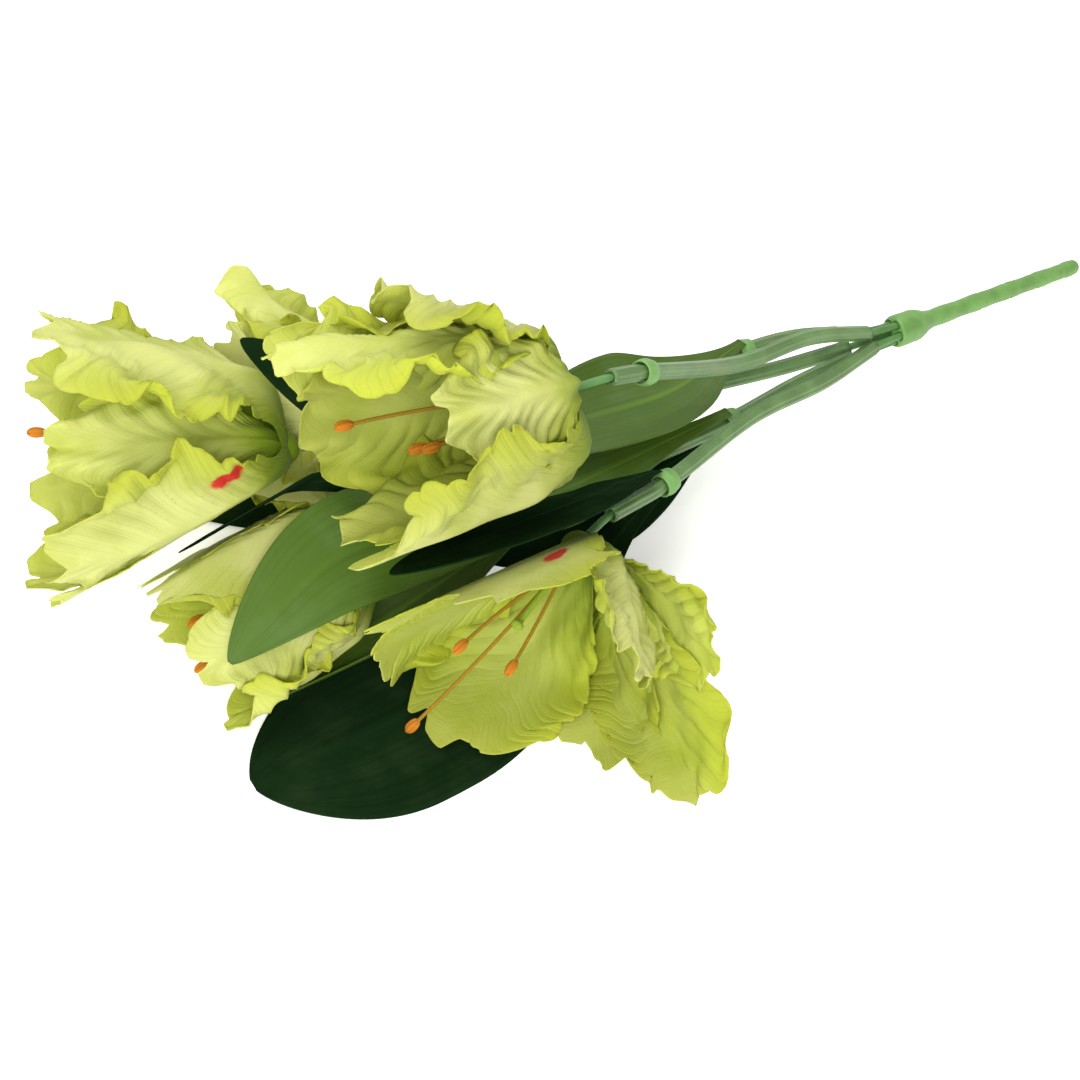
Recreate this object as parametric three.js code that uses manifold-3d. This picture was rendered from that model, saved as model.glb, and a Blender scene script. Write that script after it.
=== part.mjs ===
// Artificial parrot tulip bunch: five ruffled silk blooms, their leaves and ridged
// stem sleeves on one moulded main stem, lying on a table.
// Millimetres, +Z up. The origin is on the table, in the middle of the flat spot under
// the main stem's tip. The main stem climbs from there towards -X, to the blooms.
import * as THREE from 'three';
import { mergeVertices } from 'three/addons/utils/BufferGeometryUtils.js';
import Module from 'manifold-3d';

const wasm = await Module();
wasm.setup();

const DEG = Math.PI / 180;
const GAP = 0.3;                 // clearance between touching pieces
const BLADE_THICK = 0.9;         // petals and leaves
const SETTLE_HEIGHT = 6;         // below this height a blade is pressed towards the table
const FLOOR_SLOPE = 15;          // the floor a bloom lies on runs out over this width

// Places are measured from the end of the main stem, and FOOT_SETBACK moves them all.
const FOOT_SETBACK = 3.2;        // from the end of the main stem to the flat spot's middle
const MAIN_TIP = [0, 0, 2];      // axis of the main stem at its end
const MAIN_HUB = [-104, -8.5, 21.5]; // centre of the hub's socket face
const MAIN_TIP_RADIUS = 3.2;
const MAIN_TOP_RADIUS = 3.9;
const HUB_RADIUS = 6.7;
const HUB_LENGTH = 17;
const RING_MARKS = [9, 26, 42, 57]; // moulded grooves, from the main stem's end
const RING_DEPTH = 0.35;
const SOCKET_CIRCLE = 3.9;
const SOCKET_RADIUS = 1.95;
const SOCKET_DEPTH = 11;

const STEM_RADIUS = 1.5;
const STEM_STATIONS = 16;        // a stem, its sleeve and its collars share these stations
const SLEEVE_STATIONS = [2, 15];
const SLEEVE_BORE = 2.35;
const SLEEVE_RADIUS = 3.2;
const SLEEVE_RIDGES = 4;
const SLEEVE_RIDGE_DEPTH = 0.35;
const COLLAR_BORE = 3.95;
const COLLAR_RADIUS = 5.1;
const COLLAR_LENGTH = 7;

const RECEPTACLE_RADIUS = 6.5;
const PETAL_ROOT_RADIUS = 2.5;
const PETAL_SETBACK = 3.5;       // petals start behind the receptacle's middle
const BOWL_SHARE = 0.34;         // share of its length over which a petal turns upright
const FILAMENT_RADIUS = 0.7;
const ANTHER_SIZE = [1.9, 3.2, 1.6]; // half its width, length and thickness
const PATH_STEPS = 24;            // stations along a petal or filament
const RUFFLE = 5;                // height of the waves at a petal's edge

const PETAL_GRID = [5, 4];
const LEAF_GRID = [7, 4];
const LEAF_TIP_CROWDING = 1.6;   // brings a leaf's rows closer together towards its tip
const SLIVER = 0.45;             // facets finer than this are merged into their neighbours

const finish = {
  mainStem: { color: 0x7fb45c, roughness: 0.55, metalness: 0 },
  stem: { color: 0x5d8a4a, roughness: 0.6, metalness: 0 },
  sleeve: { color: 0x6f8f5a, roughness: 0.65, metalness: 0 },
  collar: { color: 0x84b862, roughness: 0.6, metalness: 0 },
  petals: { color: 0xbdca4b, roughness: 0.8, metalness: 0 },
  stamens: { color: 0xe08a20, roughness: 0.7, metalness: 0 },
  darkLeaf: { color: 0x22341b, roughness: 0.45, metalness: 0 },
  midLeaf: { color: 0x56863a, roughness: 0.6, metalness: 0 },
};

// A petal's turn is its place round the aim, 0 upwards and 90 to the far side, and its lean
// its angle from the aim at the root, above the bowl and at the tip. cup is how far it curls
// round the bloom, roll how far its edges turn back, wave the phase of its ruffles and
// twist its turn about its own length.
function petal(turn, lean, long, wide, cup, roll, wave, twist = 0, ruffle = 1) {
  return { turn, lean, long, wide, cup, roll, wave, twist, ruffle };
}

const filament = (turn, lean, long) => ({ turn, lean, long, twist: 0 });

// Each bloom: base is the centre of its receptacle, aim the way it faces. floor is the
// height of the leaves under it and floorEdge the y where they end.
const blooms = {
  a: {
    base: [-366, 16, 72],
    aim: [-0.93, 0.36, 0.05],
    floor: 0,
    floorEdge: -400,
    petals: [
      petal(24, [92, 20, 14], 112, 76, 42, 0.3, 1.1),
      petal(-84, [92, 18, 16], 114, 66, 42, 0.3, 2.3),
      petal(150, [92, 14, 2], 120, 62, 34, 0.2, 0.4),
      petal(-30, [60, 12, 6], 96, 48, 36, 0.4, 3.6),
      petal(88, [74, 12, 8], 110, 56, 34, 0.2, 5.1),
      petal(-166, [76, 16, 10], 118, 60, 32, 0.2, 2.9),
      petal(-130, [80, 20, 16], 110, 52, 36, 0.2, 1.8),
    ],
    stamens: [
      filament(46, [12, 10, 4], 92),
      filament(90, [12, 12, 4], 56),
      filament(-30, [10, 8, 0], 46),
    ],
  },
  b: {
    base: [-323, 22, 38],
    aim: [-0.64, 0.7, 0.3],
    floor: 5,
    floorEdge: -400,
    petals: [
      petal(-34, [88, 12, 4], 100, 66, 44, 0.3, 0.7),
      petal(30, [84, 14, 10], 102, 52, 40, 0.2, 2.5),
      petal(86, [84, 6, 0], 94, 50, 36, 0.2, 4.3),
      petal(160, [84, 8, 0], 94, 62, 38, 0.2, 5.6),
      petal(-112, [84, 16, 8], 90, 64, 42, 0.2, 3.2),
    ],
    stamens: [
      filament(-60, [10, 6, 0], 56),
      filament(60, [12, 6, 0], 52),
      filament(180, [10, 8, 0], 54),
    ],
  },
  c: {
    base: [-282, -41, 110],
    aim: [-0.99, 0.11, 0.05],
    floor: 63,
    floorEdge: -400,
    petals: [
      petal(44, [90, 30, 26], 82, 72, 40, 0.3, 0.9),
      petal(22, [66, 14, 6], 118, 56, 36, 0.4, 2),
      petal(78, [74, 12, 12], 116, 58, 34, 0.2, 4.7),
      petal(132, [76, 12, 4], 108, 60, 30, 0.2, 0.2),
      petal(-138, [66, 4, -2], 100, 54, 32, 0.2, 5.4),
      petal(-38, [94, 22, 10], 74, 54, 46, 0.3, 2.6),
      petal(-100, [94, 15, 14], 124, 64, 38, 0.2, 3.1),
    ],
    stamens: [
      filament(-175, [10, 10, 4], 46),
      filament(-150, [12, 10, 2], 42),
      filament(60, [10, 8, 2], 70),
    ],
  },
  d: {
    base: [-290, -69, 58],
    aim: [-0.9, -0.39, -0.2],
    floor: 5,
    floorEdge: -100,
    petals: [
      petal(10, [92, 48, 44], 84, 74, 40, 0.4, 3.3),
      petal(70, [88, 50, 44], 112, 64, 36, 0.4, 1.4),
      petal(104, [78, 38, 30], 106, 56, 36, 0.2, 5.2),
      petal(168, [84, 30, 18], 114, 64, 28, 0.1, 0.6, 0, 0.7),
      petal(-162, [92, 54, 42], 120, 66, 24, 0.1, 2.2, -10, 0.6),
      petal(-136, [94, 60, 42], 116, 66, 22, 0.1, 4.4, -24, 0.5),
      petal(-60, [92, 50, 42], 84, 46, 40, 0.3, 1, 0, 0.6),
      petal(-104, [98, 78, 62], 68, 54, 24, 0.1, 3.7, -24, 0.3),
    ],
    stamens: [
      filament(146, [12, 22, 46], 82),
      filament(60, [10, 14, 8], 50),
      filament(-150, [12, 14, 8], 42),
    ],
  },
  e: {
    base: [-354, -19, 40],
    aim: [-0.96, 0.04, -0.18],
    floor: 13,
    floorEdge: -400,
    petals: [
      petal(66, [84, 16, 6], 100, 56, 34, 0.2, 2.4),
      petal(142, [84, 10, 0], 100, 60, 36, 0.2, 4.9),
      petal(-126, [84, 13, 8], 92, 60, 38, 0.2, 3.5),
      petal(-56, [84, 10, 0], 90, 52, 42, 0.2, 1.6),
      petal(6, [84, 14, 6], 96, 56, 38, 0.2, 5.8),
    ],
    stamens: [
      filament(150, [10, 8, 4], 60),
      filament(-100, [10, 10, 4], 62),
      filament(40, [10, 8, 0], 56),
    ],
  },
};

// Neighbouring blooms press each other flat along a plane between their hearts,
// given as the share of the way from the first heart to the second.
const touchingBlooms = [
  ['a', 'b', 0.64], ['a', 'c', 0.5], ['a', 'e', 0.52], ['b', 'c', 0.5],
  ['b', 'e', 0.5], ['c', 'd', 0.49], ['c', 'e', 0.5], ['d', 'e', 0.5],
];
const HEART_DEPTH = 50;          // the heart of a bloom, along its aim
const PRESS_REACH = 10;          // how near the plane the pressing starts
const PRESS_MARGIN = 1.6;        // how near the plane a petal may come
const LEAF_REACH = 4;
const LEAF_MARGIN = 0.6;
const LEAF_SWAY = 0.5;           // how far a leaf between two blooms leaves their plane

// A leaf that lies against a bloom presses it flat along a plane, from a share of the
// leaf's length on.
const leafBeds = [
  { leaf: 'leaf_4', bloom: 'd', from: 0.15, point: [-310, -49, 66], normal: [0.06, 0.54, 0.84] },
  { leaf: 'leaf_4', bloom: 'c', from: 0.15, point: [-332, -63, 80], normal: [-0.11, -0.63, -0.77] },
  { leaf: 'leaf_3', bloom: 'e', from: 0.6, point: [-387, -35, 53], normal: [0, -0.51, 0.86] },
  { leaf: 'leaf_3', bloom: 'd', from: 0.3, point: [-325, -48, 46], normal: [0, 0.8, 0.6] },
  { leaf: 'leaf_6', bloom: 'd', from: 0.15, point: [-342, -46, 20], normal: [0, 0.95, 0.3] },
];

// A stem leaves the hub by its socket, passes its bends and ends at its bloom.
const stems = {
  a: { socket: 23, bends: [[-150, 4, 30], [-190, 2, 36], [-290, 1, 42]], neck: 26 },
  b: { socket: -49, bends: [[-150, 0, 18], [-200, 6, 22], [-270, 7, 24]], neck: 26 },
  c: { socket: 95, bends: [[-150, -13, 46], [-190, -22, 60]], neck: 22 },
  d: { socket: 167, bends: [[-150, -25, 32], [-190, -34, 42], [-244, -54, 52]], neck: 12 },
  e: { socket: -121, bends: [[-150, -13, 22], [-208, -28, 36], [-288, -26, 37]], neck: 18 },
};

// A collar is a moulded ring over the sleeve, and the leaves grow from it.
const collars = {
  collar_1: { stem: 'a', station: 4.5 },
  collar_2: { stem: 'a', station: 13.5 },
  collar_3: { stem: 'b', station: 11.5 },
  collar_4: { stem: 'c', station: 13.5 },
  collar_5: { stem: 'd', station: 12.5 },
  collar_6: { stem: 'e', station: 6.5 },
  collar_7: { stem: 'e', station: 11.5 },
};

// A leaf's spine runs from the side of its collar to its tip. across is the way its
// right edge lies, at the root and at the tip, cup its curl from side to side, shoulder
// the share of its length where it reaches its full width and full where it starts to taper.
// A leaf between two blooms lies in their plane from that share of its length on.
const leaves = {
  leaf_1: {
    collar: 'collar_1', side: [0, 0, 1],
    spine: [[-215, -12, 48], [-250, -12, 53], [-296, -4, 53]],
    across: [[0, -1, 0], [0, -1, 0]], wide: 48, cup: -24, shoulder: 0.5, wave: 2,
    finish: 'midLeaf',
  },
  leaf_2: {
    collar: 'collar_6', side: [0, 0.2, -1],
    spine: [[-240, -27, 25], [-280, -20, 20], [-312, -12, 17]],
    across: [[0, -1, -0.2], [0, -1, -0.2]], wide: 32, cup: -15, shoulder: 0.5, wave: 2,
    finish: 'darkLeaf',
  },
  leaf_3: {
    collar: 'collar_6', side: [0, 0, 1],
    spine: [[-250, -32, 45], [-290, -33, 47], [-335, -28, 53], [-370, -29, 57], [-419, -46, 47]],
    across: [[0, 1, 0], [0, 0.86, 0.51]], wide: 50, cup: -28, shoulder: 0.62, full: 0.6, wave: 0.8,
    finish: 'midLeaf',
  },
  leaf_4: {
    collar: 'collar_5', side: [0, 0.63, 0.77],
    spine: [[-270, -61, 70], [-310, -66, 76], [-364, -71, 77]],
    across: [[0, -0.84, 0.54], [0, -0.84, 0.54]], wide: 50, cup: 4, shoulder: 0.5, wave: 2,
    finish: 'darkLeaf',
  },
  leaf_5: {
    collar: 'collar_5', side: [0, 0.4, -0.9],
    spine: [[-262, -50, 26], [-284, -54, 4], [-306, -60, -7], [-350, -72, -12], [-424, -74, -4]],
    across: [[0, -1, 0], [0.1, -1, 0]], wide: 72, cup: 6, shoulder: 0.72, full: 0.68, wave: 2,
    finish: 'darkLeaf',
  },
  leaf_6: {
    collar: 'collar_7', side: [0, 0, -1],
    spine: [[-330, -27, 13], [-370, -31, 8], [-420, -41, 7]],
    across: [[0, -1, 0], [0, -1, 0]], wide: 40, cup: -14, shoulder: 0.6, wave: 1,
    finish: 'midLeaf',
  },
  leaf_7: {
    collar: 'collar_2', side: [0, -0.9, -0.3], between: ['a', 'e', 0.6],
    spine: [[-345, -8, 59], [-362, -2, 61], [-381, 4, 56], [-412, 10, 43]],
    across: [[0, -0.8, -0.6], [0, 0.62, -0.77]], wide: 33, cup: 4, shoulder: 0.75, wave: 1,
    finish: 'darkLeaf',
  },
  leaf_8: {
    collar: 'collar_2', side: [0.1, -0.5, 0.86], between: ['b', 'c', 0.2],
    spine: [[-335, 9, 78], [-352, 18, 98], [-372, 30, 120]],
    across: [[0.7, 0.6, 0.3], [0.7, 0.6, 0.3]], wide: 28, cup: 4, shoulder: 0.5, wave: 1,
    finish: 'darkLeaf',
  },
  leaf_9: {
    collar: 'collar_3', side: [0, 0.3, -0.9],
    spine: [[-290, 28, 6], [-335, 50, -11], [-392, 70, -6]],
    across: [[0.4, -0.9, 0], [0.4, -0.9, 0]], wide: 52, cup: 6, shoulder: 0.5, wave: 2,
    finish: 'darkLeaf',
  },
};

// ---------------------------------------------------------------- small helpers

const vec = (xyz) => new THREE.Vector3(xyz[0], xyz[1], xyz[2]);
const clamp01 = (x) => Math.min(1, Math.max(0, x));
const smooth = (x) => clamp01(x) ** 2 * (3 - 2 * clamp01(x));
const mix = (a, b, t) => a + (b - a) * t;

function toSolid(geometry) {
  const bare = geometry.index ? geometry.clone() : geometry;
  bare.deleteAttribute('normal');
  bare.deleteAttribute('uv');
  const merged = mergeVertices(bare, 1e-4);
  return new wasm.Manifold(new wasm.Mesh({
    numProp: 3,
    vertProperties: new Float32Array(merged.attributes.position.array),
    triVerts: new Uint32Array(merged.index.array),
  }));
}

function toGeometry(solid) {
  const mesh = solid.getMesh();
  const geometry = new THREE.BufferGeometry();
  geometry.setAttribute('position', new THREE.BufferAttribute(mesh.vertProperties, 3));
  geometry.setIndex(new THREE.BufferAttribute(mesh.triVerts, 1));
  geometry.computeVertexNormals();
  return geometry;
}

// Joins solids and keeps the one body they make, without loose slivers at folded edges.
function joined(solids) {
  const bodies = solids.reduce((all, solid) => all.add(solid)).simplify(SLIVER).decompose();
  return bodies.reduce((best, body) => (body.volume() > best.volume() ? body : best));
}

// Everything below the table top is cut away, which leaves flat resting spots.
const belowTable = toSolid(new THREE.BoxGeometry(1200, 800, 60).translate(-200, 0, -30));
const onTable = (solid) => solid.subtract(belowTable);

const group = new THREE.Group();
group.position.x = FOOT_SETBACK;

function addPiece(name, solid, finishName) {
  const mesh = new THREE.Mesh(toGeometry(solid), new THREE.MeshStandardMaterial(finish[finishName]));
  mesh.name = name;
  group.add(mesh);
}

// A tube or rod: a section with its points round the path, extruded along it.
function alongPath(points, section, steps) {
  const curve = new THREE.CatmullRomCurve3(points, false, 'centripetal');
  return toSolid(new THREE.ExtrudeGeometry(section, { steps, extrudePath: curve, bevelEnabled: false }));
}

function polygon(radiusAt, sides) {
  const ring = [];
  for (let i = 0; i < sides; i += 1) {
    const angle = (2 * Math.PI * i) / sides;
    ring.push(new THREE.Vector2(radiusAt(i) * Math.cos(angle), radiusAt(i) * Math.sin(angle)));
  }
  return ring;
}

// ---------------------------------------------------------------- thin blades

// A closed blade: the middle surface is offset to both faces, and both faces are
// split into the same triangles.
function bladeSolid(surface, [stepsU, stepsV]) {
  const at = (i, j) => surface(i / stepsU, (2 * j) / stepsV - 1);
  const middle = [];
  for (let i = 0; i <= stepsU; i += 1) {
    for (let j = 0; j <= stepsV; j += 1) middle.push(at(i, j));
  }
  const row = stepsV + 1;
  const point = (i, j) => middle[i * row + j];
  const normal = (i, j) => {
    const alongU = point(Math.min(i + 1, stepsU), j).clone().sub(point(Math.max(i - 1, 0), j));
    const alongV = point(i, Math.min(j + 1, stepsV)).clone().sub(point(i, Math.max(j - 1, 0)));
    return alongU.cross(alongV).normalize();
  };
  const positions = [];
  for (const side of [0.5, -0.5]) {
    for (let i = 0; i <= stepsU; i += 1) {
      for (let j = 0; j <= stepsV; j += 1) {
        const p = point(i, j).clone().addScaledVector(normal(i, j), side * BLADE_THICK);
        positions.push(p.x, p.y, p.z);
      }
    }
  }
  const back = middle.length;
  const index = [];
  const quad = (a, b, c, d) => index.push(a, b, c, a, c, d);
  for (let i = 0; i < stepsU; i += 1) {
    for (let j = 0; j < stepsV; j += 1) {
      const a = i * row + j;
      const b = a + row;
      index.push(a, b, b + 1, a, b + 1, a + 1);
      index.push(a + back, b + 1 + back, b + back, a + back, a + 1 + back, b + 1 + back);
    }
  }
  for (let i = 0; i < stepsU; i += 1) {
    const left = i * row;
    const right = left + stepsV;
    quad(left, left + back, left + row + back, left + row);
    quad(right, right + row, right + row + back, right + back);
  }
  for (let j = 0; j < stepsV; j += 1) {
    const near = j;
    const far = stepsU * row + j;
    quad(near, near + 1, near + 1 + back, near + back);
    quad(far, far + back, far + 1 + back, far + 1);
  }
  const geometry = new THREE.BufferGeometry();
  geometry.setAttribute('position', new THREE.Float32BufferAttribute(positions, 3));
  geometry.setIndex(index);
  return toSolid(geometry);
}

const heart = (key) => vec(blooms[key].base).addScaledVector(vec(blooms[key].aim).normalize(), HEART_DEPTH);

// The plane between two blooms, facing the first.
function partingPlane(first, second) {
  const share = touchingBlooms.find(([one, two]) => one === first && two === second)[2];
  const normal = heart(first).sub(heart(second)).normalize();
  return { normal, offset: normal.dot(heart(first).lerp(heart(second), share)) };
}

const flipped = ({ normal, offset }) => ({ normal: normal.clone().negate(), offset: -offset });

function bedPlane({ point, normal, from }) {
  const unit = vec(normal).normalize();
  return { normal: unit, offset: unit.dot(vec(point)), from };
}

function pressPlanes(key) {
  const planes = [];
  for (const [first, second] of touchingBlooms) {
    if (key === first) planes.push(partingPlane(first, second));
    if (key === second) planes.push(flipped(partingPlane(first, second)));
  }
  for (const bed of leafBeds) {
    if (bed.bloom === key) planes.push(flipped(bedPlane(bed)));
  }
  return planes;
}

// Points nearer than the reach are pressed together, down to the margin from the plane.
function press(p, planes, reach = PRESS_REACH, margin = PRESS_MARGIN) {
  const soft = reach - margin;
  for (const { normal, offset } of planes) {
    const depth = normal.dot(p) - offset;
    if (depth < reach) {
      const kept = margin + soft * Math.exp((depth - reach) / soft);
      p.addScaledVector(normal, kept - depth);
    }
  }
  return p;
}

function settle(p, floor = 0) {
  const height = p.z - floor;
  if (height < SETTLE_HEIGHT) p.z = floor + SETTLE_HEIGHT * Math.exp(height / SETTLE_HEIGHT - 1);
  return p;
}

// ---------------------------------------------------------------- petals

function bloomFrame(bloom) {
  const axis = vec(bloom.aim).normalize();
  const up = new THREE.Vector3(0, 0, 1).addScaledVector(axis, -axis.z).normalize();
  const side = axis.clone().cross(up);
  return { axis, up, side, base: vec(bloom.base) };
}

function spokes({ axis, up, side }, turn) {
  const radial = up.clone().multiplyScalar(Math.cos(turn * DEG));
  radial.addScaledVector(side, Math.sin(turn * DEG));
  return { radial, across: axis.clone().cross(radial) };
}

// The path of a petal or filament: it leaves the aim by its lean, and its blade may
// turn about the path by its twist.
function leaningPath(frame, shape, start) {
  const { radial, across } = spokes(frame, shape.turn);
  const [root, middle, tip] = shape.lean;
  const stations = [];
  const point = start(radial);
  for (let k = 0; k <= PATH_STEPS; k += 1) {
    const t = k / PATH_STEPS;
    const upright = mix(middle, tip, clamp01((t - BOWL_SHARE) / (1 - BOWL_SHARE)));
    const lean = mix(root, upright, smooth(t / BOWL_SHARE)) * DEG;
    const forward = frame.axis.clone().multiplyScalar(Math.cos(lean));
    forward.addScaledVector(radial, Math.sin(lean));
    const sideways = across.clone().applyAxisAngle(forward, shape.twist * smooth(t) * DEG);
    stations.push({ point: point.clone(), sideways, inward: forward.clone().cross(sideways) });
    point.addScaledVector(forward, shape.long / PATH_STEPS);
  }
  return stations;
}

function onPath(stations, t) {
  const place = clamp01(t) * (stations.length - 1);
  const k = Math.min(Math.floor(place), stations.length - 2);
  const f = place - k;
  const between = (key) => stations[k][key].clone().lerp(stations[k + 1][key], f);
  return {
    point: between('point'),
    sideways: between('sideways').normalize(),
    inward: between('inward').normalize(),
  };
}

// Broad at the root, widest beyond the middle, blunt end.
function petalHalfWidth(t) {
  return mix(0.25, 1, smooth(t / 0.55)) * mix(1, 0.72, smooth((t - 0.7) / 0.3));
}

// Where the blade's edges curve: a cup that wraps the receptacle at the root and
// opens to the petal's own cup, edges that roll outwards, ruffles that grow to the edge.
function petalSurface(bloom, shape, planes) {
  const frame = bloomFrame(bloom);
  const foot = frame.base.clone().addScaledVector(frame.axis, -PETAL_SETBACK);
  const start = (radial) => foot.clone().addScaledVector(radial, PETAL_ROOT_RADIUS);
  const stations = leaningPath(frame, shape, start);
  const half = shape.wide / 2;
  return (u, v) => {
    const edge = Math.abs(v);
    const tipLobes = 0.05 * u ** 3 * Math.cos(3 * Math.PI * v + shape.wave);
    const sideLobes = 0.07 * smooth((u - 0.3) / 0.3) * Math.cos(8 * Math.PI * u + shape.wave) * edge;
    const t = u * (1 - 0.3 * edge ** 2) + tipLobes;
    const { point, sideways, inward } = onPath(stations, t);
    const width = half * (petalHalfWidth(t) + shape.ruffle * sideLobes);
    const cup = mix(46, shape.cup, smooth(t / 0.6)) * DEG;
    const rolled = shape.roll * width * 2.2 * Math.max(0, edge - 0.45) ** 2 * smooth((t - 0.15) / 0.3);
    const wavePhase = 4.6 * Math.PI * u + shape.wave + 2.1 * Math.sign(v);
    const sideWave = edge ** 2.2 * smooth((u - 0.15) / 0.4) * Math.sin(wavePhase);
    const tipWave = u ** 5 * Math.sin(2.6 * Math.PI * v + 2 * shape.wave);
    const cupped = (width * (1 - Math.cos(cup * v))) / cup;
    const waves = shape.ruffle * RUFFLE * (sideWave + 0.7 * tipWave);
    point.addScaledVector(sideways, (width * Math.sin(cup * v)) / cup);
    point.addScaledVector(inward, cupped - rolled + waves);
    press(press(point, planes), planes);
    return settle(point, bloom.floor * smooth((point.y - bloom.floorEdge) / FLOOR_SLOPE + 1));
  };
}

function bloomPetals(key) {
  const bloom = blooms[key];
  const planes = pressPlanes(key);
  const receptacle = new THREE.SphereGeometry(RECEPTACLE_RADIUS, 8, 6).translate(...bloom.base);
  const petals = bloom.petals.map((shape) => (
    bladeSolid(petalSurface(bloom, shape, planes), PETAL_GRID)));
  return onTable(joined([toSolid(receptacle), ...petals]));
}

// ---------------------------------------------------------------- stamens

function bloomStamens(bloom) {
  const frame = bloomFrame(bloom);
  const foot = frame.base.clone().addScaledVector(frame.axis, RECEPTACLE_RADIUS + GAP);
  const turnTo = new THREE.Quaternion().setFromUnitVectors(new THREE.Vector3(0, 1, 0), frame.axis);
  const ovary = new THREE.CylinderGeometry(1.6, 2.6, 9, 6).translate(0, 4.5, 0);
  const pistil = new THREE.CylinderGeometry(1, 1.2, 24, 6).translate(0, 18, 0);
  const stigma = new THREE.SphereGeometry(2.4, 6, 4).scale(1, 0.6, 1).translate(0, 31, 0);
  const solids = [ovary, pistil, stigma].map((shape) => (
    toSolid(shape.applyQuaternion(turnTo).translate(foot.x, foot.y, foot.z))));
  for (const shape of bloom.stamens) {
    const start = (radial) => foot.clone().addScaledVector(radial, 1.2).addScaledVector(frame.axis, 1.5);
    const stations = leaningPath(frame, shape, start);
    const points = [0, 0.25, 0.5, 0.75, 1].map((share) => stations[share * PATH_STEPS].point);
    const section = new THREE.Shape(polygon(() => FILAMENT_RADIUS, 4));
    solids.push(alongPath(points, section, 4));
    const end = points[4];
    const along = end.clone().sub(points[3]).normalize();
    const anther = new THREE.SphereGeometry(1, 5, 4).scale(...ANTHER_SIZE);
    anther.applyQuaternion(new THREE.Quaternion().setFromUnitVectors(new THREE.Vector3(0, 1, 0), along));
    solids.push(toSolid(anther.translate(end.x, end.y, end.z)));
  }
  return joined(solids);
}

for (const [key, bloom] of Object.entries(blooms)) {
  addPiece(`bloom_${key}_petals`, bloomPetals(key), 'petals');
  addPiece(`bloom_${key}_stamens`, bloomStamens(bloom), 'stamens');
}

// ---------------------------------------------------------------- main stem

const hub = vec(MAIN_HUB);
const mainAxis = hub.clone().sub(vec(MAIN_TIP));
const mainLength = mainAxis.length();
mainAxis.normalize();
const hubUp = new THREE.Vector3(0, 0, 1).addScaledVector(mainAxis, -mainAxis.z).normalize();
const hubSide = mainAxis.clone().cross(hubUp);
const Y_AXIS = new THREE.Vector3(0, 1, 0);

// Turns a shape made along Y to lie along a direction, with its origin at a point.
function placeAlong(geometry, direction, point) {
  geometry.applyQuaternion(new THREE.Quaternion().setFromUnitVectors(Y_AXIS, direction));
  return geometry.translate(point.x, point.y, point.z);
}

function socketPoint(turn, distance) {
  const across = hubSide.clone().multiplyScalar(Math.cos(turn * DEG));
  across.addScaledVector(hubUp, Math.sin(turn * DEG));
  return hub.clone().addScaledVector(across, SOCKET_CIRCLE).addScaledVector(mainAxis, distance);
}

function mainStem() {
  const radiusAt = (y) => mix(MAIN_TIP_RADIUS, MAIN_TOP_RADIUS, y / mainLength);
  const tip = MAIN_TIP_RADIUS;
  const profile = [[0, 0], [0.6 * tip, 0.5], [0.93 * tip, 1.8], [tip, 3.4]];
  for (const y of RING_MARKS) {
    const radius = radiusAt(y);
    const groove = radius - RING_DEPTH;
    profile.push([radius, y - 0.9], [groove, y - 0.3], [groove, y + 0.3], [radius + 0.15, y + 0.9]);
  }
  const hubStart = mainLength - HUB_LENGTH;
  profile.push([MAIN_TOP_RADIUS, hubStart - 3], [0.8 * HUB_RADIUS, hubStart + 2]);
  profile.push([HUB_RADIUS, hubStart + 6]);
  profile.push([HUB_RADIUS, mainLength - 0.8], [HUB_RADIUS - 0.8, mainLength], [0, mainLength]);
  const points = profile.map(([radius, y]) => new THREE.Vector2(radius, y));
  let solid = toSolid(placeAlong(new THREE.LatheGeometry(points, 10), mainAxis, vec(MAIN_TIP)));
  for (const stem of Object.values(stems)) {
    const socket = new THREE.CylinderGeometry(SOCKET_RADIUS, SOCKET_RADIUS, SOCKET_DEPTH + 2, 8);
    const centre = socketPoint(stem.socket, 1 - SOCKET_DEPTH / 2);
    solid = solid.subtract(toSolid(placeAlong(socket, mainAxis, centre)));
  }
  return onTable(solid);
}

addPiece('main_stem', mainStem(), 'mainStem');

// ---------------------------------------------------------------- stems, sleeves and collars

function stemCurve(key) {
  const stem = stems[key];
  const frame = bloomFrame(blooms[key]);
  const seat = RECEPTACLE_RADIUS + GAP;
  const points = [
    socketPoint(stem.socket, 1 - SOCKET_DEPTH),
    socketPoint(stem.socket, 2),
    socketPoint(stem.socket, 10),
    ...stem.bends.map(vec),
    frame.base.clone().addScaledVector(frame.axis, -stem.neck),
    frame.base.clone().addScaledVector(frame.axis, -seat),
  ];
  return new THREE.CatmullRomCurve3(points, false, 'centripetal');
}

const stemCurves = Object.fromEntries(Object.keys(stems).map((key) => [key, stemCurve(key)]));

const stations = (key, from, to) => stemCurves[key].getSpacedPoints(STEM_STATIONS).slice(from, to + 1);

function ridgedSleeve(key) {
  const [from, to] = SLEEVE_STATIONS;
  const ridged = (i) => SLEEVE_RADIUS - (i % 2 ? SLEEVE_RIDGE_DEPTH : 0);
  const section = new THREE.Shape(polygon(ridged, 2 * SLEEVE_RIDGES));
  section.holes.push(new THREE.Path(polygon(() => SLEEVE_BORE, 5).reverse()));
  return alongPath(stations(key, from, to), section, to - from);
}

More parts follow.
